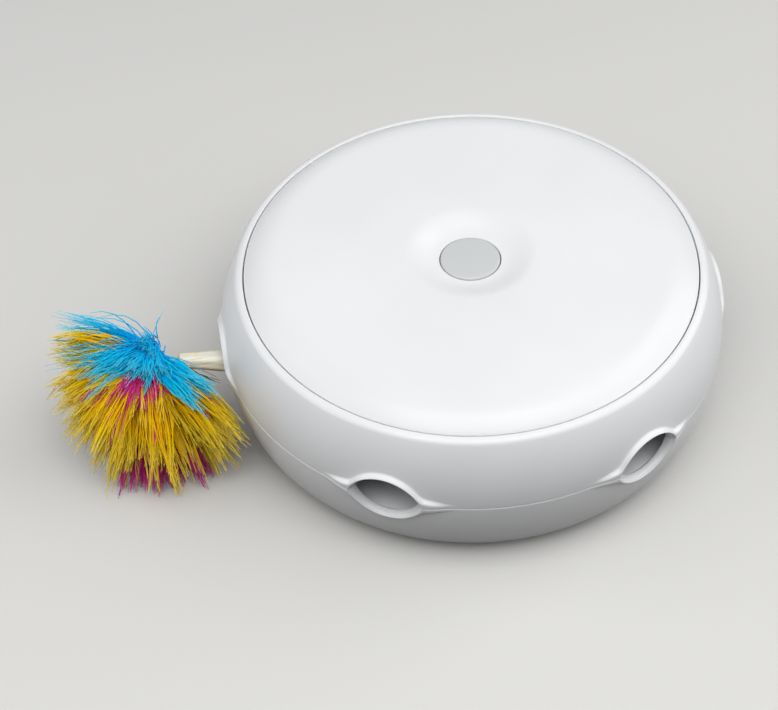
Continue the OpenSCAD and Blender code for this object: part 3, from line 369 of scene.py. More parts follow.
# The lip fades out beside the port, leans with the wall and flares along the parting line
LIP_START, LIP_FADE = 27.0, 13.0
LIP_LEAN = 8.0
LIP_SLOPE = 1.3
FLARE_LOW, FLARE_RISE, FLARE_W = 1.5, 5.0, 13.0
BLEND = 1.5
CREASE = 0.45
# Keeps the slope's width above zero where the lip has faded out
THIN = 1e-6
# The step inside the lip: how far out from the hole and how deep below the lip, with none for the inner wall
STEP_PROFILE = [(0, None), (0, 1.95), (0.15, 1.68), (0.3, STEP_DEPTH), (0.75, STEP_DEPTH), (PORT_STEP, 1.45)]
ROLL_ROOM = 0.1
# Rows round the lip's rolled edge, up its face and up the side above its crest
ROLL_ROWS, FACE_ROWS, SIDE_ROWS = 5, 5, 18
# The port's edge turns into the parting line's: columns before the hole's corner, and columns that it takes
CORNER_COLUMNS, CORNER_FADE = 3, 5
CREST_OUT, CREST_UNDER = 1.4, 0.6
LEAST_RISE = 0.05
CREST_LIFTS = (-0.35, -0.1, 0.15, 0.4, 0.7)
SIDE_SPREAD = 1.5


class Half:
    """One shell's side: its section, and the raised lip round its half of each port.
    crest is how far the lip's crest lies outside the port, and gain what its stand changes by higher up.
    shelf is its slope's width as a share of the stand. roll and seam_round round off the edges."""

    def __init__(self, radius, crest, gain, shelf, roll, seam_round):
        self.centre, self.radius = BODY_R - radius, radius
        self.crest, self.gain = crest, gain
        self.shelf, self.roll, self.seam_round = shelf, roll, seam_round

    def plain(self, v):
        """The side's radius at a height v from the parting line, without the lip."""
        return self.centre + math.sqrt(self.radius ** 2 - v * v)

    def inner(self, v):
        """The inner wall's radius."""
        return self.centre + math.sqrt((self.radius - WALL) ** 2 - v * v)

    def ridge(self, t):
        """Height of the lip's crest: it runs round the port and flares out along the parting line."""
        arch = math.sqrt(max((PORT_ARC + self.crest) ** 2 - t * t, 0.0)) - PORT_DROP
        flare = FLARE_LOW + FLARE_RISE * math.exp(-(t / FLARE_W) ** 2)
        return (arch + flare + math.hypot(arch - flare, BLEND)) / 2

    def raw(self, t, v):
        """The side's radius with the lip, whose outer slope meets it in a crease."""
        stand = (LIP_OUT + self.gain * ease(v / LIP_LEAN)) * ease((LIP_START - abs(t)) / LIP_FADE)
        u = (v - self.ridge(t)) / (self.shelf * stand + THIN)
        return self.plain(v) + stand * (1 - min(max(u, 0.0), 1.0)) ** LIP_SLOPE

    def outer(self, t, v):
        """The lip's surface with its crease rounded."""
        around = (-2, -1, 0, 1, 2)
        return sum(self.raw(t, v + CREASE * k / 2) for k in around) / len(around)

    def rows(self, i, top):
        """(t, v, r) from the inner wall through the port's edge, over the lip and up to the height top."""
        edge = ease((abs(i) - HALF_HOLE + CORNER_COLUMNS) / CORNER_FADE)
        roll = self.roll + (self.seam_round - self.roll) * edge
        out = []
        for grow, depth in STEP_PROFILE:
            t, v = lens(i, grow)
            v += PART_GAP
            depth = depth and max(depth, roll + ROLL_ROOM)
            out.append((t, v, self.inner(v) if depth is None else self.outer(t, v) - depth))
        for k in range(ROLL_ROWS + 1):
            a = math.pi / 2 * k / ROLL_ROWS
            t, v = lens(i, PORT_STEP + roll * (1 - math.cos(a)))
            v += PART_GAP + self.seam_round * (1 - math.cos(a)) * edge
            out.append((t, v, self.outer(t, v) - roll * (1 - math.sin(a))))
        t0, v0, _ = out[-1]
        t1 = lens(i, PORT_STEP + self.roll + CREST_OUT)[0]
        crest = self.ridge(t1)
        rise = max(crest - CREST_UNDER, v0 + LEAST_RISE) - v0
        for k in range(1, FACE_ROWS + 1):
            t = t0 + (t1 - t0) * k / FACE_ROWS
            v = v0 + rise * k / FACE_ROWS
            out.append((t, v, self.outer(t, v)))
        for lift in CREST_LIFTS:
            out.append((t1, crest + lift, self.outer(t1, crest + lift)))
        start = crest + CREST_LIFTS[-1]
        for k in range(1, SIDE_ROWS + 1):
            v = start + (top - start) * (k / SIDE_ROWS) ** SIDE_SPREAD
            out.append((t1, v, self.outer(t1, v) if k < SIDE_ROWS else self.plain(v)))
        return out


brow_half = Half(SHOULDER_R, crest=1.5, gain=0.0, shelf=0.45, roll=0.4, seam_round=0.25)
chin_half = Half(BOWL_R, crest=1.9, gain=-1.0, shelf=0.5, roll=0.8, seam_round=0.6)


def shell_mesh(half, top, lower, before, after):
    """A whole shell: each column has the rows (r, z) before its side, its side, and the rows after it."""
    table = []
    for k in range(SECTOR):
        side = half.rows(k - SECTOR // 2, top)
        first, last = side[0][0] / BODY_R, side[-1][0] / BODY_R
        rows = [(first, r, z) for r, z in before]
        rows += [(t / BODY_R, r, PARTING_Z + (-v if lower else v)) for t, v, r in side]
        rows += [(last, r, z) for r, z in after]
        table.append(rows)

    def place(step, row):
        sector, k = divmod((step + SECTOR // 2) % STEPS, SECTOR)
        offset, r, z = table[k][row]
        a = sector * 2 * math.pi / PORT_COUNT + offset
        return (r * math.cos(a), r * math.sin(a), z)
    return spun(len(table[0]), STEPS, not lower, place)


# Upper shell: side, rounded rim, seam wall, ledge and inner wall
SEAM_ROUND = 0.36
BROW_INNER = (20.6, 16.0, 13.0)
rim_cz = RIM_Z - RIM_ROUND
rim_cr = BODY_R - SHOULDER_R + math.sqrt((SHOULDER_R - RIM_ROUND) ** 2 - (rim_cz - PARTING_Z) ** 2)
rim_a = math.degrees(math.atan2(rim_cz - PARTING_Z, rim_cr - (BODY_R - SHOULDER_R)))
rim_v = SHOULDER_R * math.sin(math.radians(rim_a))
seam_r = COVER_R + SEAM_GAP
rim_rows = arc(rim_cr, rim_cz, RIM_ROUND, rim_a, 90, n=9)[1:]
rim_rows += arc(seam_r + SEAM_ROUND, RIM_Z - SEAM_ROUND, SEAM_ROUND, 90, 180, n=4)[1:]
rim_rows += [(seam_r, SEAM_Z), (seam_r, LEDGE_Z), (LEDGE_R, LEDGE_Z), (LEDGE_R, LEDGE_Z - LEDGE_T)]
rim_rows += [(brow_half.inner(v), PARTING_Z + v) for v in BROW_INNER]
upper_bm = shell_mesh(brow_half, rim_v, lower=False, before=[], after=rim_rows)
upper = finish_mesh(upper_bm, "upper_shell_skin", abs_white, smooth_angle=55)
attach(upper, "housing")
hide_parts("upper_shell")

# Lower shell: side, heel, base with the foot ring's groove, and the floor inside
FOOT_CHAMFER, FOOT_GROOVE = 0.2, 1.0
CHIN_INNER = (20.0, 16.0, 13.5)
groove_z = BASE_Z + FOOT_GROOVE
heel_cz = BASE_Z + HEEL_R
heel_cr = BODY_R - BOWL_R + math.sqrt((BOWL_R - HEEL_R) ** 2 - (PARTING_Z - heel_cz) ** 2)
heel_a = math.degrees(math.atan2(heel_cz - PARTING_Z, heel_cr - (BODY_R - BOWL_R)))
heel_v = -BOWL_R * math.sin(math.radians(heel_a))
heel_rows = arc(heel_cr, heel_cz, HEEL_R, heel_a, -90, n=12)[1:]
heel_rows += [(FOOT_OUT + FOOT_CHAMFER, BASE_Z), (FOOT_OUT, BASE_Z + FOOT_CHAMFER), (FOOT_OUT, groove_z)]
heel_rows += [(FOOT_IN, groove_z), (FOOT_IN, BASE_Z + FOOT_CHAMFER), (FOOT_IN - FOOT_CHAMFER, BASE_Z)]
heel_rows += [(BASE_FLAT_R, BASE_Z), (0.0, BASE_Z)]
floor_rows = [(0.0, BASE_Z + WALL), (BASE_FLAT_R, BASE_Z + WALL)]
floor_rows += arc(heel_cr, heel_cz, HEEL_R - WALL, -90, heel_a, n=6)
floor_rows += [(chin_half.inner(v), PARTING_Z - v) for v in CHIN_INNER]
lower_bm = shell_mesh(chin_half, heel_v, lower=True, before=floor_rows, after=heel_rows)
lower = finish_mesh(lower_bm, "lower_shell_skin", abs_white)

ROD_SIDES = 32


def box_bm(bm, low, high):
    """A box between two corners in millimetres."""
    made = bmesh.ops.create_cube(bm, size=1.0)["verts"]
    size = [h - l for l, h in zip(low, high)]
    centre = [(h + l) / 2 for l, h in zip(low, high)]
    bmesh.ops.scale(bm, vec=[s * MM for s in size], verts=made)
    bmesh.ops.translate(bm, vec=[c * MM for c in centre], verts=made)


def rod_bm(bm, x, y, z0, z1, r):
    """An upright rod in millimetres, and its vertices."""
    made = bmesh.ops.create_cone(bm, cap_ends=True, segments=ROD_SIDES, radius1=r * MM, radius2=r * MM,
                                 depth=(z1 - z0) * MM)["verts"]
    bmesh.ops.translate(bm, vec=[x * MM, y * MM, (z0 + z1) / 2 * MM], verts=made)
    return made


# The base's openings: the battery door with its tab, and the wells of the shell screws
DOOR_LOW, DOOR_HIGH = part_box("battery_door")
APRON_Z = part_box("port_apron")[0][2] / MM
DOOR_GAP = 0.3
TAB_L, TAB_HALF = 12.0, 5.0
# The cuts start below the base and go up to these heights
CUT_FROM, DOOR_CUT, TAB_CUT, WELL_CUT = -1.0, 6.0, 3.0, 12.0
WELL_R = 3.2
BAY_X, BAY_L, BAY_HALF, BAY_WALL = 10.9, 45.0, 28.45, 1.6
bay_low = (BAY_X - BAY_WALL, -BAY_HALF - BAY_WALL)
bay_high = (BAY_X + BAY_L + BAY_WALL, BAY_HALF + BAY_WALL)


def base_cutter():
    """The tool for the base's openings, as one object."""
    bm = bmesh.new()
    low, high = [c / MM for c in DOOR_LOW], [c / MM for c in DOOR_HIGH]
    tab = TAB_HALF + DOOR_GAP
    box_bm(bm, (low[0] - DOOR_GAP, low[1] - DOOR_GAP, CUT_FROM),
           (bay_high[0] + DOOR_GAP, high[1] + DOOR_GAP, DOOR_CUT))
    box_bm(bm, (high[0] - TAB_L, -tab, CUT_FROM), (high[0] + DOOR_GAP, tab, TAB_CUT))
    for x, y in SCREW_SPOTS:
        rod_bm(bm, x, y, CUT_FROM, WELL_CUT, WELL_R)
    return finish_mesh(bm, "base_cutter", abs_white)


def carve(obj, tool):
    """Cuts a closed tool out of obj for good."""
    mod = obj.modifiers.new("cut", "BOOLEAN")
    mod.operation = "DIFFERENCE"
    mod.solver = "EXACT"
    mod.use_self = True
    mod.object = tool
    mesh = bpy.data.meshes.new_from_object(obj.evaluated_get(bpy.context.evaluated_depsgraph_get()))
    obj.modifiers.clear()
    obj.data = mesh
    bpy.data.objects.remove(tool)


carve(lower, base_cutter())
lower.data.shade_smooth()
lower.data.set_sharp_from_angle(angle=math.radians(50))
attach(lower, "housing")
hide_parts("lower_shell")

# Inside the lower shell: screw towers, the battery bay's walls and the posts that carry the chassis
TOWER_FOOT_Z, TOWER_R, TOWER_TOP_R = BASE_Z + 0.5, 5.2, 4.0
WELL_TOP_Z = 24.0
DECK_POSTS = [polar(57.0, a) for a in (45, 135, 195, 315)]
DECK_POST_R, DECK_POST_Z, DECK_Z = 3.5, 3.0, 21.2
BAY_FOOT_Z, BAY_ROOF_Z, BAY_TOP_Z = 3.2, 18.2, 19.6


def fittings():
    """The inner fittings as one object."""
    bm = bmesh.new()
    for x, y in SCREW_SPOTS:
        rod_bm(bm, x, y, APRON_Z, PARTING_Z, TOWER_TOP_R)
        rod_bm(bm, x, y, TOWER_FOOT_Z, APRON_Z, TOWER_R)
        well = rod_bm(bm, x, y, TOWER_FOOT_Z, WELL_TOP_Z, WELL_R)
        bmesh.ops.reverse_faces(bm, faces=list({f for v in well for f in v.link_faces}))
    for x, y in DECK_POSTS:
        rod_bm(bm, x, y, DECK_POST_Z, DECK_Z, DECK_POST_R)
    x0, y0 = bay_low
    x1, y1 = bay_high
    box_bm(bm, (x0, y0, BAY_FOOT_Z), (x0 + BAY_WALL, y1, BAY_TOP_Z))
    box_bm(bm, (x1 - BAY_WALL, y0, BAY_FOOT_Z), (x1, y1, BAY_TOP_Z))
    box_bm(bm, (x0 + BAY_WALL, y0, BAY_FOOT_Z), (x1 - BAY_WALL, y0 + BAY_WALL, BAY_TOP_Z))
    box_bm(bm, (x0 + BAY_WALL, y1 - BAY_WALL, BAY_FOOT_Z), (x1 - BAY_WALL, y1, BAY_TOP_Z))
    box_bm(bm, (x0, y0, BAY_ROOF_Z), (x1, y1, BAY_TOP_Z))
    return finish_mesh(bm, "lower_shell_fittings", abs_white, smooth_angle=40)


towers = fittings()
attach(towers, "housing")

# Top cover: turned profile with a soft dimple, a low dome, a crown that bends down and a rounded edge
CROWN_R = 20.5
CROWN_SLOPE, DOME_SLOPE = math.radians(43.0), math.radians(3.0)
OUTER_SLOPE, INNER_SLOPE = math.radians(41.5), math.radians(39.0)
COVER_Z = RIM_Z - 0.2
COVER_ROUND, COVER_ROUND_DROP = 0.35, 0.2
COVER_SEAT = LEDGE_Z + 0.02
HOLE_GAP, HOLE_FLAT, HOLE_ROUND = 0.35, 0.8, 0.35
DIMPLE_ROWS, DOME_ROWS, CROWN_ROWS, COVER_STEPS = 24, 10, 14, 240
crown_r0 = COVER_R - CROWN_R * math.sin(CROWN_SLOPE)
crown_z0 = COVER_Z - CROWN_R * math.cos(CROWN_SLOPE)
dome_start = crown_r0 + CROWN_R * math.sin(DOME_SLOPE)
dome_r = (dome_start - DIMPLE_R) / math.sin(DOME_SLOPE)
crown_z = crown_z0 + CROWN_R * math.cos(DOME_SLOPE) + dome_r * (1 - math.cos(DOME_SLOPE))
dimple_z = crown_z - DIMPLE_DEPTH
hole_r = BUTTON_R + HOLE_GAP
flat_r = hole_r + HOLE_FLAT


def cover_top(drop, crown_radius, slope):
    """The cover's skin from the button's hole outwards, lowered by drop."""
    points = []
    for k in range(DIMPLE_ROWS + 1):
        u = 1 - k / DIMPLE_ROWS
        points.append((DIMPLE_R - (DIMPLE_R - flat_r) * u, crown_z - DIMPLE_DEPTH * ease(u) - drop))
    for k in range(1, DOME_ROWS + 1):
        s = DOME_SLOPE * k / DOME_ROWS
        points.append((DIMPLE_R + dome_r * math.sin(s), crown_z - dome_r * (1 - math.cos(s)) - drop))
    for k in range(1, CROWN_ROWS + 1):
        s = DOME_SLOPE + (slope - DOME_SLOPE) * k / CROWN_ROWS
        points.append((crown_r0 + crown_radius * math.sin(s), crown_z0 + crown_radius * math.cos(s)))
    return points


cover_profile = arc(hole_r + HOLE_ROUND, dimple_z - HOLE_ROUND, HOLE_ROUND, 180, 90, n=4)
cover_profile += cover_top(0.0, CROWN_R, OUTER_SLOPE)
cover_profile += arc(COVER_R - COVER_ROUND, COVER_Z - COVER_ROUND_DROP, COVER_ROUND, 50, 0, n=3)
cover_profile += [(COVER_R, SEAM_Z), (COVER_R, COVER_SEAT), (COVER_R - WALL, COVER_SEAT)]
cover_profile += cover_top(WALL, CROWN_R - WALL, INNER_SLOPE)[::-1]
cover_profile += [(hole_r, dimple_z - WALL)]
cover = revolve("top_cover_skin", cover_profile, COVER_STEPS, True, abs_white, smooth_angle=60)
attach(cover, "housing")
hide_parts("top_cover")

# Power button: flat face with a rolled edge, and the flange and post that hold it under the cover
BUTTON_PROUD, BUTTON_ROUND, BUTTON_DOME = 0.5, 1.0, 0.42
BUTTON_ROWS, BUTTON_STEPS = 6, 160
FLANGE_OUT, FLANGE_T, FLANGE_GAP = 1.8, 1.2, 0.3
POST_R, POST_H = 3.0, 1.3
button_z = dimple_z + BUTTON_PROUD
face_r = BUTTON_R - BUTTON_ROUND
flange_r = BUTTON_R + FLANGE_OUT
flange_z = dimple_z - WALL - FLANGE_GAP
under_z = flange_z - FLANGE_T
post_z = under_z - POST_H
shares = [k / BUTTON_ROWS for k in range(BUTTON_ROWS)]
button_profile = [(face_r * u, button_z + BUTTON_DOME * (1 - u ** 2)) for u in shares]
button_profile += arc(face_r, button_z - BUTTON_ROUND, BUTTON_ROUND, 84, 0, n=7)
button_profile += [(BUTTON_R, flange_z), (flange_r, flange_z), (flange_r, under_z)]
button_profile += [(POST_R, under_z), (POST_R, post_z), (0.0, post_z)]
cap = revolve("power_button_cap", button_profile, BUTTON_STEPS, False, abs_grey, smooth_angle=45)
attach(cap, "button")
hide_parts("power_button")


# Feather: sleeve, quills and barbs, made along the carousel's own -X and then turned with it

OUT = np.array([-1.0, 0.0, 0.0])
STEM_START = np.array([0.0, 0.0, STEM_Z])
BEND_SIDE = np.array([0.0, math.cos(STEM_LIE), math.sin(STEM_LIE)])
BEND_END = BEND_X + BEND_R * STEM_BEND
SLEEVE_END = BEND_END + (SLEEVE_END_X - BEND_X - BEND_R * math.sin(STEM_BEND)) / math.cos(STEM_BEND)


def stem_place(along, side=0.0, across=0.0):
    """A point beside the stem: along is counted from the housing's axis, round the sleeve's bend."""
    turn = min(max((along - BEND_X) / BEND_R, 0.0), STEM_BEND)
    straight = along - BEND_R * turn
    out = math.cos(turn) * OUT + math.sin(turn) * BEND_SIDE
    reach = OUT * straight if turn == 0 else OUT * BEND_X + out * (straight - BEND_X)
    centre = STEM_START + reach + BEND_R * (math.sin(turn) * OUT + (1 - math.cos(turn)) * BEND_SIDE)
    beside = math.cos(turn) * BEND_SIDE - math.sin(turn) * OUT
    return centre + side * beside + across * np.cross(OUT, BEND_SIDE)


HEART = stem_place(SLEEVE_END + QUILL_L)
STEM_DIR = (stem_place(SLEEVE_END) - HEART) / QUILL_L


def carousel_turned(bm):
    """Turns a mesh with the carousel to its rest."""
    bmesh.ops.rotate(bm, cent=(0, 0, 0), matrix=Matrix.Rotation(REST_TURN, 3, "Z"), verts=bm.verts)


# Sleeve: the tang in its socket, the collar, the fluted taper and the open mouth
TANG_X, TANG_R = 84.0, 2.5
COLLAR_X, COLLAR_ROUND = 92.2, 0.3
TAPER_X, TAPER_BACK = 93.4, 0.5
SLEEVE_R, SLEEVE_NARROW, TAPER_CURVE = 4.4, 1.6, 1.1
TAPER_ROWS, STRAIGHT_ROWS = 14, 3
SLEEVE_STEPS = 48
# The mouth's edge and bore: along from the sleeve's end, and radius
MOUTH = [(-0.2, 2.6), (0.0, 2.35), (-1.0, 2.1), (-6.0, 2.0), (-6.0, 0.0)]
# Flutes pressed into the sleeve by the quills: depth as a share, waves round it, start and twist per mm
FLUTES = [(0.03, 5, 1.0, 0.0), (0.02, 9, 0.0, 0.06)]
sleeve_profile = [(TANG_X, 0.0), (TANG_X, TANG_R), (COLLAR_X, TANG_R), (COLLAR_X, SLEEVE_R - COLLAR_ROUND)]
sleeve_profile += [(COLLAR_X + COLLAR_ROUND, SLEEVE_R), (TAPER_X, SLEEVE_R)]
for k in range(1, TAPER_ROWS + 1):
    narrow = max(0.0, (k - STRAIGHT_ROWS) / (TAPER_ROWS - STRAIGHT_ROWS)) ** TAPER_CURVE
    along = TAPER_X + (SLEEVE_END - TAPER_BACK - TAPER_X) * k / TAPER_ROWS
    sleeve_profile.append((along, SLEEVE_R - SLEEVE_NARROW * narrow))
sleeve_profile += [(SLEEVE_END + along, r) for along, r in MOUTH]
sleeve_bm = bmesh.new()
chain = [sleeve_bm.verts.new((along, 0.0, r)) for along, r in sleeve_profile]
edges = [sleeve_bm.edges.new(pair) for pair in zip(chain, chain[1:])]
bmesh.ops.spin(sleeve_bm, geom=chain + edges, cent=(0, 0, 0), axis=(1, 0, 0), angle=2 * math.pi,
               steps=SLEEVE_STEPS, use_merge=True)
bmesh.ops.remove_doubles(sleeve_bm, verts=sleeve_bm.verts, dist=WELD / MM)
for vert in sleeve_bm.verts:
    x, y, z = vert.co
    flute = 1.0
    if x > BEND_X:
        a = math.atan2(y, z)
        flute += sum(deep * math.sin(waves * a + start + twist * x) for deep, waves, start, twist in FLUTES)
    vert.co = Vector(stem_place(x, y * flute, z * flute)) * MM
bmesh.ops.recalc_face_normals(sleeve_bm, faces=sleeve_bm.faces)
carousel_turned(sleeve_bm)
sleeve = finish_mesh(sleeve_bm, "stem_sleeve_tube", sleeve_mat, smooth_angle=50)
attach(sleeve, "slider")
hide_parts("stem_sleeve")

# Barbs: each is a strand of POINTS points and SIDES sides
SEED = 7
rng = np.random.default_rng(SEED)
SIDES = 4
POINTS = 6


def strands_object(name, paths, radii, tags, material):
    """Many thin tapering strands as one mesh: curves with a bevel, then made a mesh with a barb attribute."""
    curve = bpy.data.curves.new(name, "CURVE")
    curve.dimensions = "3D"
    curve.bevel_depth = 1.0
    curve.bevel_resolution = 0
    curve.use_fill_caps = False
    for path, radius in zip(paths, radii):
        spline = curve.splines.new("POLY")
        spline.points.add(POINTS - 1)
        co = np.ones((POINTS, 4), np.float32)
        co[:, :3] = path * MM
        spline.points.foreach_set("co", co.ravel())
        spline.points.foreach_set("radius", (radius * MM).astype(np.float32))
    holder = bpy.data.objects.new(name + "_curve", curve)
    bpy.context.scene.collection.objects.link(holder)
    mesh = bpy.data.meshes.new_from_object(holder.evaluated_get(bpy.context.evaluated_depsgraph_get()))
    bpy.data.objects.remove(holder)
    mesh.name = name
    mesh.transform(Matrix.Rotation(REST_TURN, 4, "Z"))
    mesh.shade_smooth()
    mesh.materials.clear()
    mesh.materials.append(material)
    data = np.ones((len(paths) * POINTS * SIDES, 4), np.float32)
    data[:, 0] = np.tile(np.repeat(np.linspace(0, 1, POINTS), SIDES), len(paths))
    data[:, 1] = np.repeat(tags[:, 0], POINTS * SIDES)
    data[:, 2] = np.repeat(tags[:, 1], POINTS * SIDES)
    assert len(mesh.vertices) == len(data), (len(mesh.vertices), len(data))
    barb = mesh.attributes.new("barb", "FLOAT_COLOR", "POINT")
    barb.data.foreach_set("color", data.ravel())
    obj = bpy.data.objects.new(name, mesh)
    bpy.context.scene.collection.objects.link(obj)
    return obj


# The plume is a fan that faces the front and leans back
FAN_TURN = math.radians(-10)
FAN_TILT = math.radians(47)
FAN_RIGHT = np.array([math.cos(FAN_TURN), math.sin(FAN_TURN), 0.0])
FAN_FRONT = np.array([math.sin(FAN_TURN) * math.cos(FAN_TILT), -math.cos(FAN_TURN) * math.cos(FAN_TILT),
                      math.sin(FAN_TILT)])
FAN_UP = np.cross(FAN_FRONT, FAN_RIGHT)

# Room that the barbs leave: degrees beside the stem, then millimetres to the floor and to the housing
STEM_ROOM = 27
FLOOR_ROOM, SHELL_ROOM = 1.0, 1.2
# How far the housing goes down and up from the parting line, for that room
BOWL_DEPTH, SHOULDER_RISE = 34.0, 26.0
# Drawn in by TRAVEL, they stay within the wall or the port, and off the two towers beside it
TRAVEL = 74.0
DRAWN_R, PORT_ROOM, TOWER_ROOM = 96.6, 10.0, 6.5
NEAR_TOWERS = [polar(SCREW_R, a - REST_DEG) for a in SCREW_ANGLES[2:4]]


def shell_radius(z):
    """The housing's radius at a height, with its lips."""
    drop = np.clip(PARTING_Z - z, 0, BOWL_DEPTH)
    rise = np.clip(z - PARTING_Z, 0, SHOULDER_RISE)
    low = BODY_R - BOWL_R + np.sqrt(BOWL_R ** 2 - drop ** 2)
    high = BODY_R - SHOULDER_R + np.sqrt(SHOULDER_R ** 2 - rise ** 2)
    return np.where(z < PARTING_Z, low, high) + LIP_OUT


def clear(paths):
    """Which points stand above the floor and off the housing, and miss its wall and screws once drawn in."""
    off = np.hypot(paths[..., 0], paths[..., 1]) - shell_radius(paths[..., 2])
    x, y = paths[..., 0] + TRAVEL, paths[..., 1]
    room = (np.hypot(x, y) < DRAWN_R) | (np.abs(y) < PORT_ROOM)
    for tower_x, tower_y in NEAR_TOWERS:
        room &= np.hypot(x - tower_x, y - tower_y) > TOWER_ROOM
    return (paths[..., 2] > FLOOR_ROOM) & (off > SHELL_ROOM) & room


# A wisp's curl and upward bow, and a barb's own curl, as shares of its length
WISP_CURL, WISP_BOW, OWN_CURL = 0.036, 0.04, 0.022
# Where a barb starts from the wisp's root, and how far roots and tips scatter, in millimetres
ROOT_SPAN, ROOT_SCATTER, TIP_SCATTER = (0.5, 6.0), 1.2, 0.7
LENGTH_SPAN = (0.66, 1.0)
SAG_LENGTH = 40.0
TONE_SCATTER = 0.2
# A barb that isn't clear is drawn towards the heart, again and again, and left out if that doesn't help
SHRINK, SHRINK_TRIES = 0.95, 24


def wisps(count, members, angle, lift, reach, root=(0, 0, 0), sag=4.0):
    """Wisps of barbs on a fan: angle turns round it from the right, lift leaves its plane to the front, in
    degrees. The barbs of a wisp start side by side, bend the same way and draw together at its tip."""
    psi, tip_up = np.radians(rng.uniform(*angle, count)), np.radians(rng.uniform(*lift, count))
    flat = np.cos(psi)[:, None] * FAN_RIGHT + np.sin(psi)[:, None] * FAN_UP
    way = np.cos(tip_up)[:, None] * flat + np.sin(tip_up)[:, None] * FAN_FRONT
    length = rng.uniform(*reach, (count, 1))
    curl = rng.normal(0, WISP_CURL, (count, 3)) + np.array([0, 0, WISP_BOW])
    beside = np.degrees(np.arccos(np.clip(way @ STEM_DIR, -1, 1)))
    tone = rng.random(count)
    of = np.repeat(np.flatnonzero(beside > STEM_ROOM), members)
    n = len(of)
    centre = HEART + root @ np.array([FAN_RIGHT, FAN_UP, FAN_FRONT])
    start = centre + way[of] * rng.uniform(*ROOT_SPAN, (n, 1)) + rng.normal(0, ROOT_SCATTER, (n, 3))
    tip = centre + way[of] * length[of] * rng.uniform(*LENGTH_SPAN, (n, 1))
    tip = tip + rng.normal(0, TIP_SCATTER, (n, 3))
    bow = (curl[of] + rng.normal(0, OWN_CURL, (n, 3))) * length[of]
    s = np.linspace(0, 1, POINTS)[None, :, None]
    paths = start[:, None] * (1 - s) + tip[:, None] * s + bow[:, None] * 4 * s * (1 - s)
    paths[..., 2] -= sag * (length[of] / SAG_LENGTH) ** 2 * s[..., 0] ** 2
    for _ in range(SHRINK_TRIES):
        bad = ~clear(paths).all(1)
        paths[bad] = HEART + (paths[bad] - HEART) * SHRINK
    tones = np.stack([np.clip(tone[of] + rng.normal(0, TONE_SCATTER, n), 0, 1), rng.random(n)], 1)
    good = clear(paths).all(1)
    return paths[good], tones[good]


BARB_TIP, BARB_TAPER = 0.25, 0.8
THICK_SPAN = (0.75, 1.2)


def plume_piece(name, node, material, thick, layers):
    """All barbs of one colour, thick millimetres in radius at the root."""
    paths, tones = (np.concatenate(part) for part in zip(*[wisps(*layer) for layer in layers]))
    taper = np.linspace(1, BARB_TIP, POINTS) ** BARB_TAPER
    radii = thick * rng.uniform(*THICK_SPAN, (len(paths), 1)) * taper
    barbs = strands_object(name, paths, radii, tones, material)
    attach(barbs, "slider")
    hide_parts(node)
    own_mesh(barbs)


# Roots beside the heart, in millimetres to the fan's right, up and front
BLUE_ROOT, SIDE_ROOT = np.array([[2.5, 4.5, 2.0], [0.0, 1.0, 3.0]])
PINK_ROOT, BACK_ROOT = np.array([[1.0, 1.0, 1.0], [0.0, -0.5, -1.0]])
# Each layer: wisps, barbs in a wisp, angle and lift in degrees, length in millimetres, root and sag
plume_piece("plume_barbs_blue", "plume_blue", blue_down, thick=0.3, layers=[
    (26, 7, (152, 186), (0, 20), (30, 44), BLUE_ROOT, 2.0),
    (30, 8, (186, 214), (12, 34), (26, 36), BLUE_ROOT, 3.0),
    (110, 9, (200, 308), (18, 62), (14, 23), BLUE_ROOT, 2.0),
    (52, 8, (314, 340), (18, 40), (24, 39), SIDE_ROOT, 3.0),
    (60, 7, (100, 300), (40, 88), (8, 14), BLUE_ROOT, 1.0),
    (4, 2, (138, 154), (0, 20), (24, 32), BLUE_ROOT, 0.0),
    (2, 1, (70, 88), (0, 30), (17, 20), BLUE_ROOT, 0.0),
])
plume_piece("plume_barbs_yellow", "plume_yellow", yellow_down, thick=0.34, layers=[
    (84, 11, (150, 215), (-20, 24), (32, 44)),
    (60, 11, (210, 248), (-12, 32), (36, 47)),
    (104, 11, (244, 330), (-8, 30), (39, 54)),
    (70, 8, (160, 345), (-75, -15), (26, 38)),
    (50, 9, (195, 316), (5, 45), (22, 36)),
])
plume_piece("plume_barbs_magenta", "plume_magenta", magenta_down, thick=0.3, layers=[
    (56, 8, (226, 300), (20, 46), (20, 26), PINK_ROOT, 3.0),
    (10, 5, (200, 226), (20, 36), (24, 32), PINK_ROOT, 3.0),
    (20, 2, (195, 330), (12, 34), (30, 44), PINK_ROOT, 4.0),
    (64, 8, (250, 302), (-8, 5), (51, 58), BACK_ROOT, 4.0),
    (30, 6, (150, 300), (-80, -30), (22, 32), BACK_ROOT, 2.0),
])

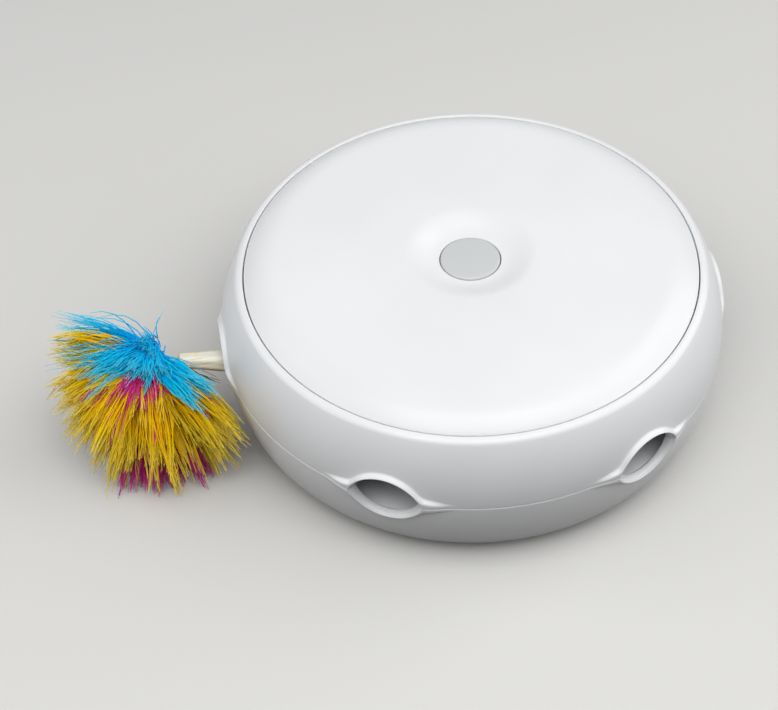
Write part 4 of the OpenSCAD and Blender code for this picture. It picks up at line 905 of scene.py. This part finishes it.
# Bound quills between the sleeve and the heart of the plume: a ring of them, one in the middle, and the knot
QUILL_RING_COUNT, QUILL_RING, QUILL_PINCH = 6, 1.25, 0.9
QUILL_IN, QUILL_R, QUILL_TIP_R, QUILL_SIDES = 5.0, 0.62, 0.45, 10
KNOT_R = 3.4
quill_bm = bmesh.new()
for k in range(QUILL_RING_COUNT + 1):
    a = 2 * math.pi * k / QUILL_RING_COUNT
    off = QUILL_RING if k < QUILL_RING_COUNT else 0.0
    side, across = off * math.cos(a), off * math.sin(a)
    start = Vector(stem_place(SLEEVE_END - QUILL_IN, side, across))
    end = Vector(stem_place(SLEEVE_END + QUILL_L, QUILL_PINCH * side, QUILL_PINCH * across))
    reach = end - start
    rod = bmesh.ops.create_cone(quill_bm, cap_ends=True, segments=QUILL_SIDES, radius1=QUILL_R * MM,
                                radius2=QUILL_TIP_R * MM, depth=reach.length * MM)["verts"]
    turn = Vector((0, 0, 1)).rotation_difference(reach).to_matrix()
    bmesh.ops.rotate(quill_bm, cent=(0, 0, 0), matrix=turn, verts=rod)
    bmesh.ops.translate(quill_bm, vec=(start + end) / 2 * MM, verts=rod)
knot = bmesh.ops.create_uvsphere(quill_bm, u_segments=20, v_segments=12, radius=KNOT_R * MM)["verts"]
bmesh.ops.translate(quill_bm, vec=HEART * MM, verts=knot)
carousel_turned(quill_bm)
quills = finish_mesh(quill_bm, "quill_bundle", quill_mat, smooth_angle=40)
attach(quills, "slider")
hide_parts("quill_binding")

# Finishes of the pieces that stay as the solids have them
FINISHES = {
    abs_white: ["battery_door", "port_apron"],
    rubber: ["foot_ring"],
    styrene: ["chassis_plate", "turntable", "guide_keepers", "motor_clamp", "stem_socket", "switch_plunger"],
    acetal: ["turntable_gear", "idler_gear", "turn_motor_pinion", "reach_pinion", "slide_rack"],
    zinc_steel: ["battery_door_screw", "battery_contacts", "shell_screws", "chassis_screws", "idler_axle",
                 "board_screws", "turntable_screws", "pivot_spindle", "spindle_clip", "keeper_screws",
                 "clamp_screws", "turn_motor_shaft", "reach_shaft"],
    can_steel: ["turn_motor", "reach_motor"],
    brass: ["pivot_bush", "slip_rings", "brushes", "reach_gearbox"],
    cell_foil: ["battery_cells"],
    nylon_black: ["controller_chip", "push_switch"],
    board_mat: ["control_board"],
}
for material, names in FINISHES.items():
    for name in names:
        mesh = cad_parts[name].data
        mesh.materials.clear()
        mesh.materials.append(material)


# Stage: a plain pale floor, soft light and the photograph's viewpoint, in metres

BACKDROP, BACKDROP_LIGHT = "#F3F2F0", 0.9
FLOOR_HALF, FLOOR_NEAR, FLOOR_FAR = 6.0, 0.5, 1.8
FILL, FILL_LIGHT = "#F2F5FA", 0.15


def seen_by_eye(tree):
    """1 for rays that show a thing to the camera, straight or by way of a mirror or glass, else 0."""
    path = add(tree, "ShaderNodeLightPath")
    mirrored = add(tree, "ShaderNodeMath", {0: path.outputs["Is Glossy Ray"],
                                            1: path.outputs["Is Transmission Ray"]}, operation="MAXIMUM")
    return add(tree, "ShaderNodeMath", {0: path.outputs["Is Camera Ray"], 1: mirrored.outputs[0]},
               operation="MAXIMUM").outputs[0]


# The floor is pale to the eye, runs into the backdrop far off, and throws little light up at the bowl
floor_bm = bmesh.new()
bmesh.ops.create_grid(floor_bm, x_segments=1, y_segments=1, size=FLOOR_HALF)
floor_mat, floor_tree, floor_shader = surface("pale_floor", "#D9D8D5", 0.6, Specular_IOR_Level=0.0)
floor_place = add(floor_tree, "ShaderNodeTexCoord")
floor_away = add(floor_tree, "ShaderNodeVectorMath", {0: floor_place.outputs["Object"]}, operation="LENGTH")
floor_fade = add(floor_tree, "ShaderNodeMapRange", {"Value": floor_away.outputs["Value"],
                                                    "From Min": FLOOR_NEAR, "From Max": FLOOR_FAR},
                 interpolation_type="SMOOTHSTEP")
floor_cove = add(floor_tree, "ShaderNodeEmission", {"Color": linear(BACKDROP), "Strength": BACKDROP_LIGHT})
floor_look = add(floor_tree, "ShaderNodeMixShader", {0: floor_fade.outputs["Result"],
                                                     1: floor_shader.outputs[0], 2: floor_cove.outputs[0]})
floor_bounce = add(floor_tree, "ShaderNodeBsdfDiffuse", {"Color": linear("#464543")})
floor_mix = add(floor_tree, "ShaderNodeMixShader", {0: seen_by_eye(floor_tree), 1: floor_bounce.outputs[0],
                                                    2: floor_look.outputs[0]})
floor_tree.links.new(floor_mix.outputs[0], floor_tree.nodes["Material Output"].inputs["Surface"])
floor = finish_mesh(floor_bm, "stage_floor", floor_mat)

# The world shows the backdrop to the eye and gives a faint fill to everything else
world = bpy.data.worlds.new("studio")
bpy.context.scene.world = world
world.use_nodes = True
sky = world.node_tree
backdrop = sky.nodes["Background"]
backdrop.inputs["Color"].default_value = linear(BACKDROP)
backdrop.inputs["Strength"].default_value = BACKDROP_LIGHT
fill = add(sky, "ShaderNodeBackground", {"Color": linear(FILL), "Strength": FILL_LIGHT})
mixed = add(sky, "ShaderNodeMixShader", {0: seen_by_eye(sky), 1: fill.outputs[0], 2: backdrop.outputs[0]})
sky.links.new(mixed.outputs[0], sky.nodes["World Output"].inputs["Surface"])


def softbox(name, place, target, size, power):
    """A rectangular lamp that faces its target, with its power in watts."""
    lamp = bpy.data.lights.new(name, "AREA")
    lamp.shape = "RECTANGLE"
    lamp.size, lamp.size_y = size
    lamp.energy = power
    obj = bpy.data.objects.new(name, lamp)
    obj.location = place
    obj.rotation_euler = (Vector(target) - Vector(place)).to_track_quat("-Z", "Y").to_euler()
    bpy.context.scene.collection.objects.link(obj)


softbox("softbox_key", place=(-0.05, -0.45, 1.12), target=(0, 0, 0.03), size=(1.1, 0.9), power=8.4)
softbox("softbox_left", place=(-1.0, 0.0, 0.75), target=(0, 0, 0.04), size=(1.4, 1.1), power=6.6)
softbox("softbox_right", place=(1.0, -0.1, 0.72), target=(0, 0, 0.04), size=(1.5, 1.2), power=10.0)

# Camera: where it stands, what it looks at, its roll, and its lens in millimetres
EYE = Vector((-0.1126, -0.5540, 0.6132))
AIM = Vector((-0.0353, -0.0109, 0.0314))
ROLL = math.radians(-2.57)
SENSOR_W, FOCAL_L = 36, 92.92
CLIP_END = 20
look = (AIM - EYE).normalized()
right = look.cross(Vector((0, 0, 1))).normalized()
up = right.cross(look)
cam_x = right * math.cos(ROLL) + up * math.sin(ROLL)
cam_y = up * math.cos(ROLL) - right * math.sin(ROLL)
lens_data = bpy.data.cameras.new("camera")
lens_data.sensor_width = SENSOR_W
lens_data.lens = FOCAL_L
lens_data.clip_end = CLIP_END
camera = bpy.data.objects.new("camera", lens_data)
camera.matrix_world = Matrix((cam_x, cam_y, -look)).transposed().to_4x4()
camera.location = EYE
bpy.context.scene.collection.objects.link(camera)
bpy.context.scene.camera = camera
bpy.context.scene.view_settings.view_transform = "Standard"
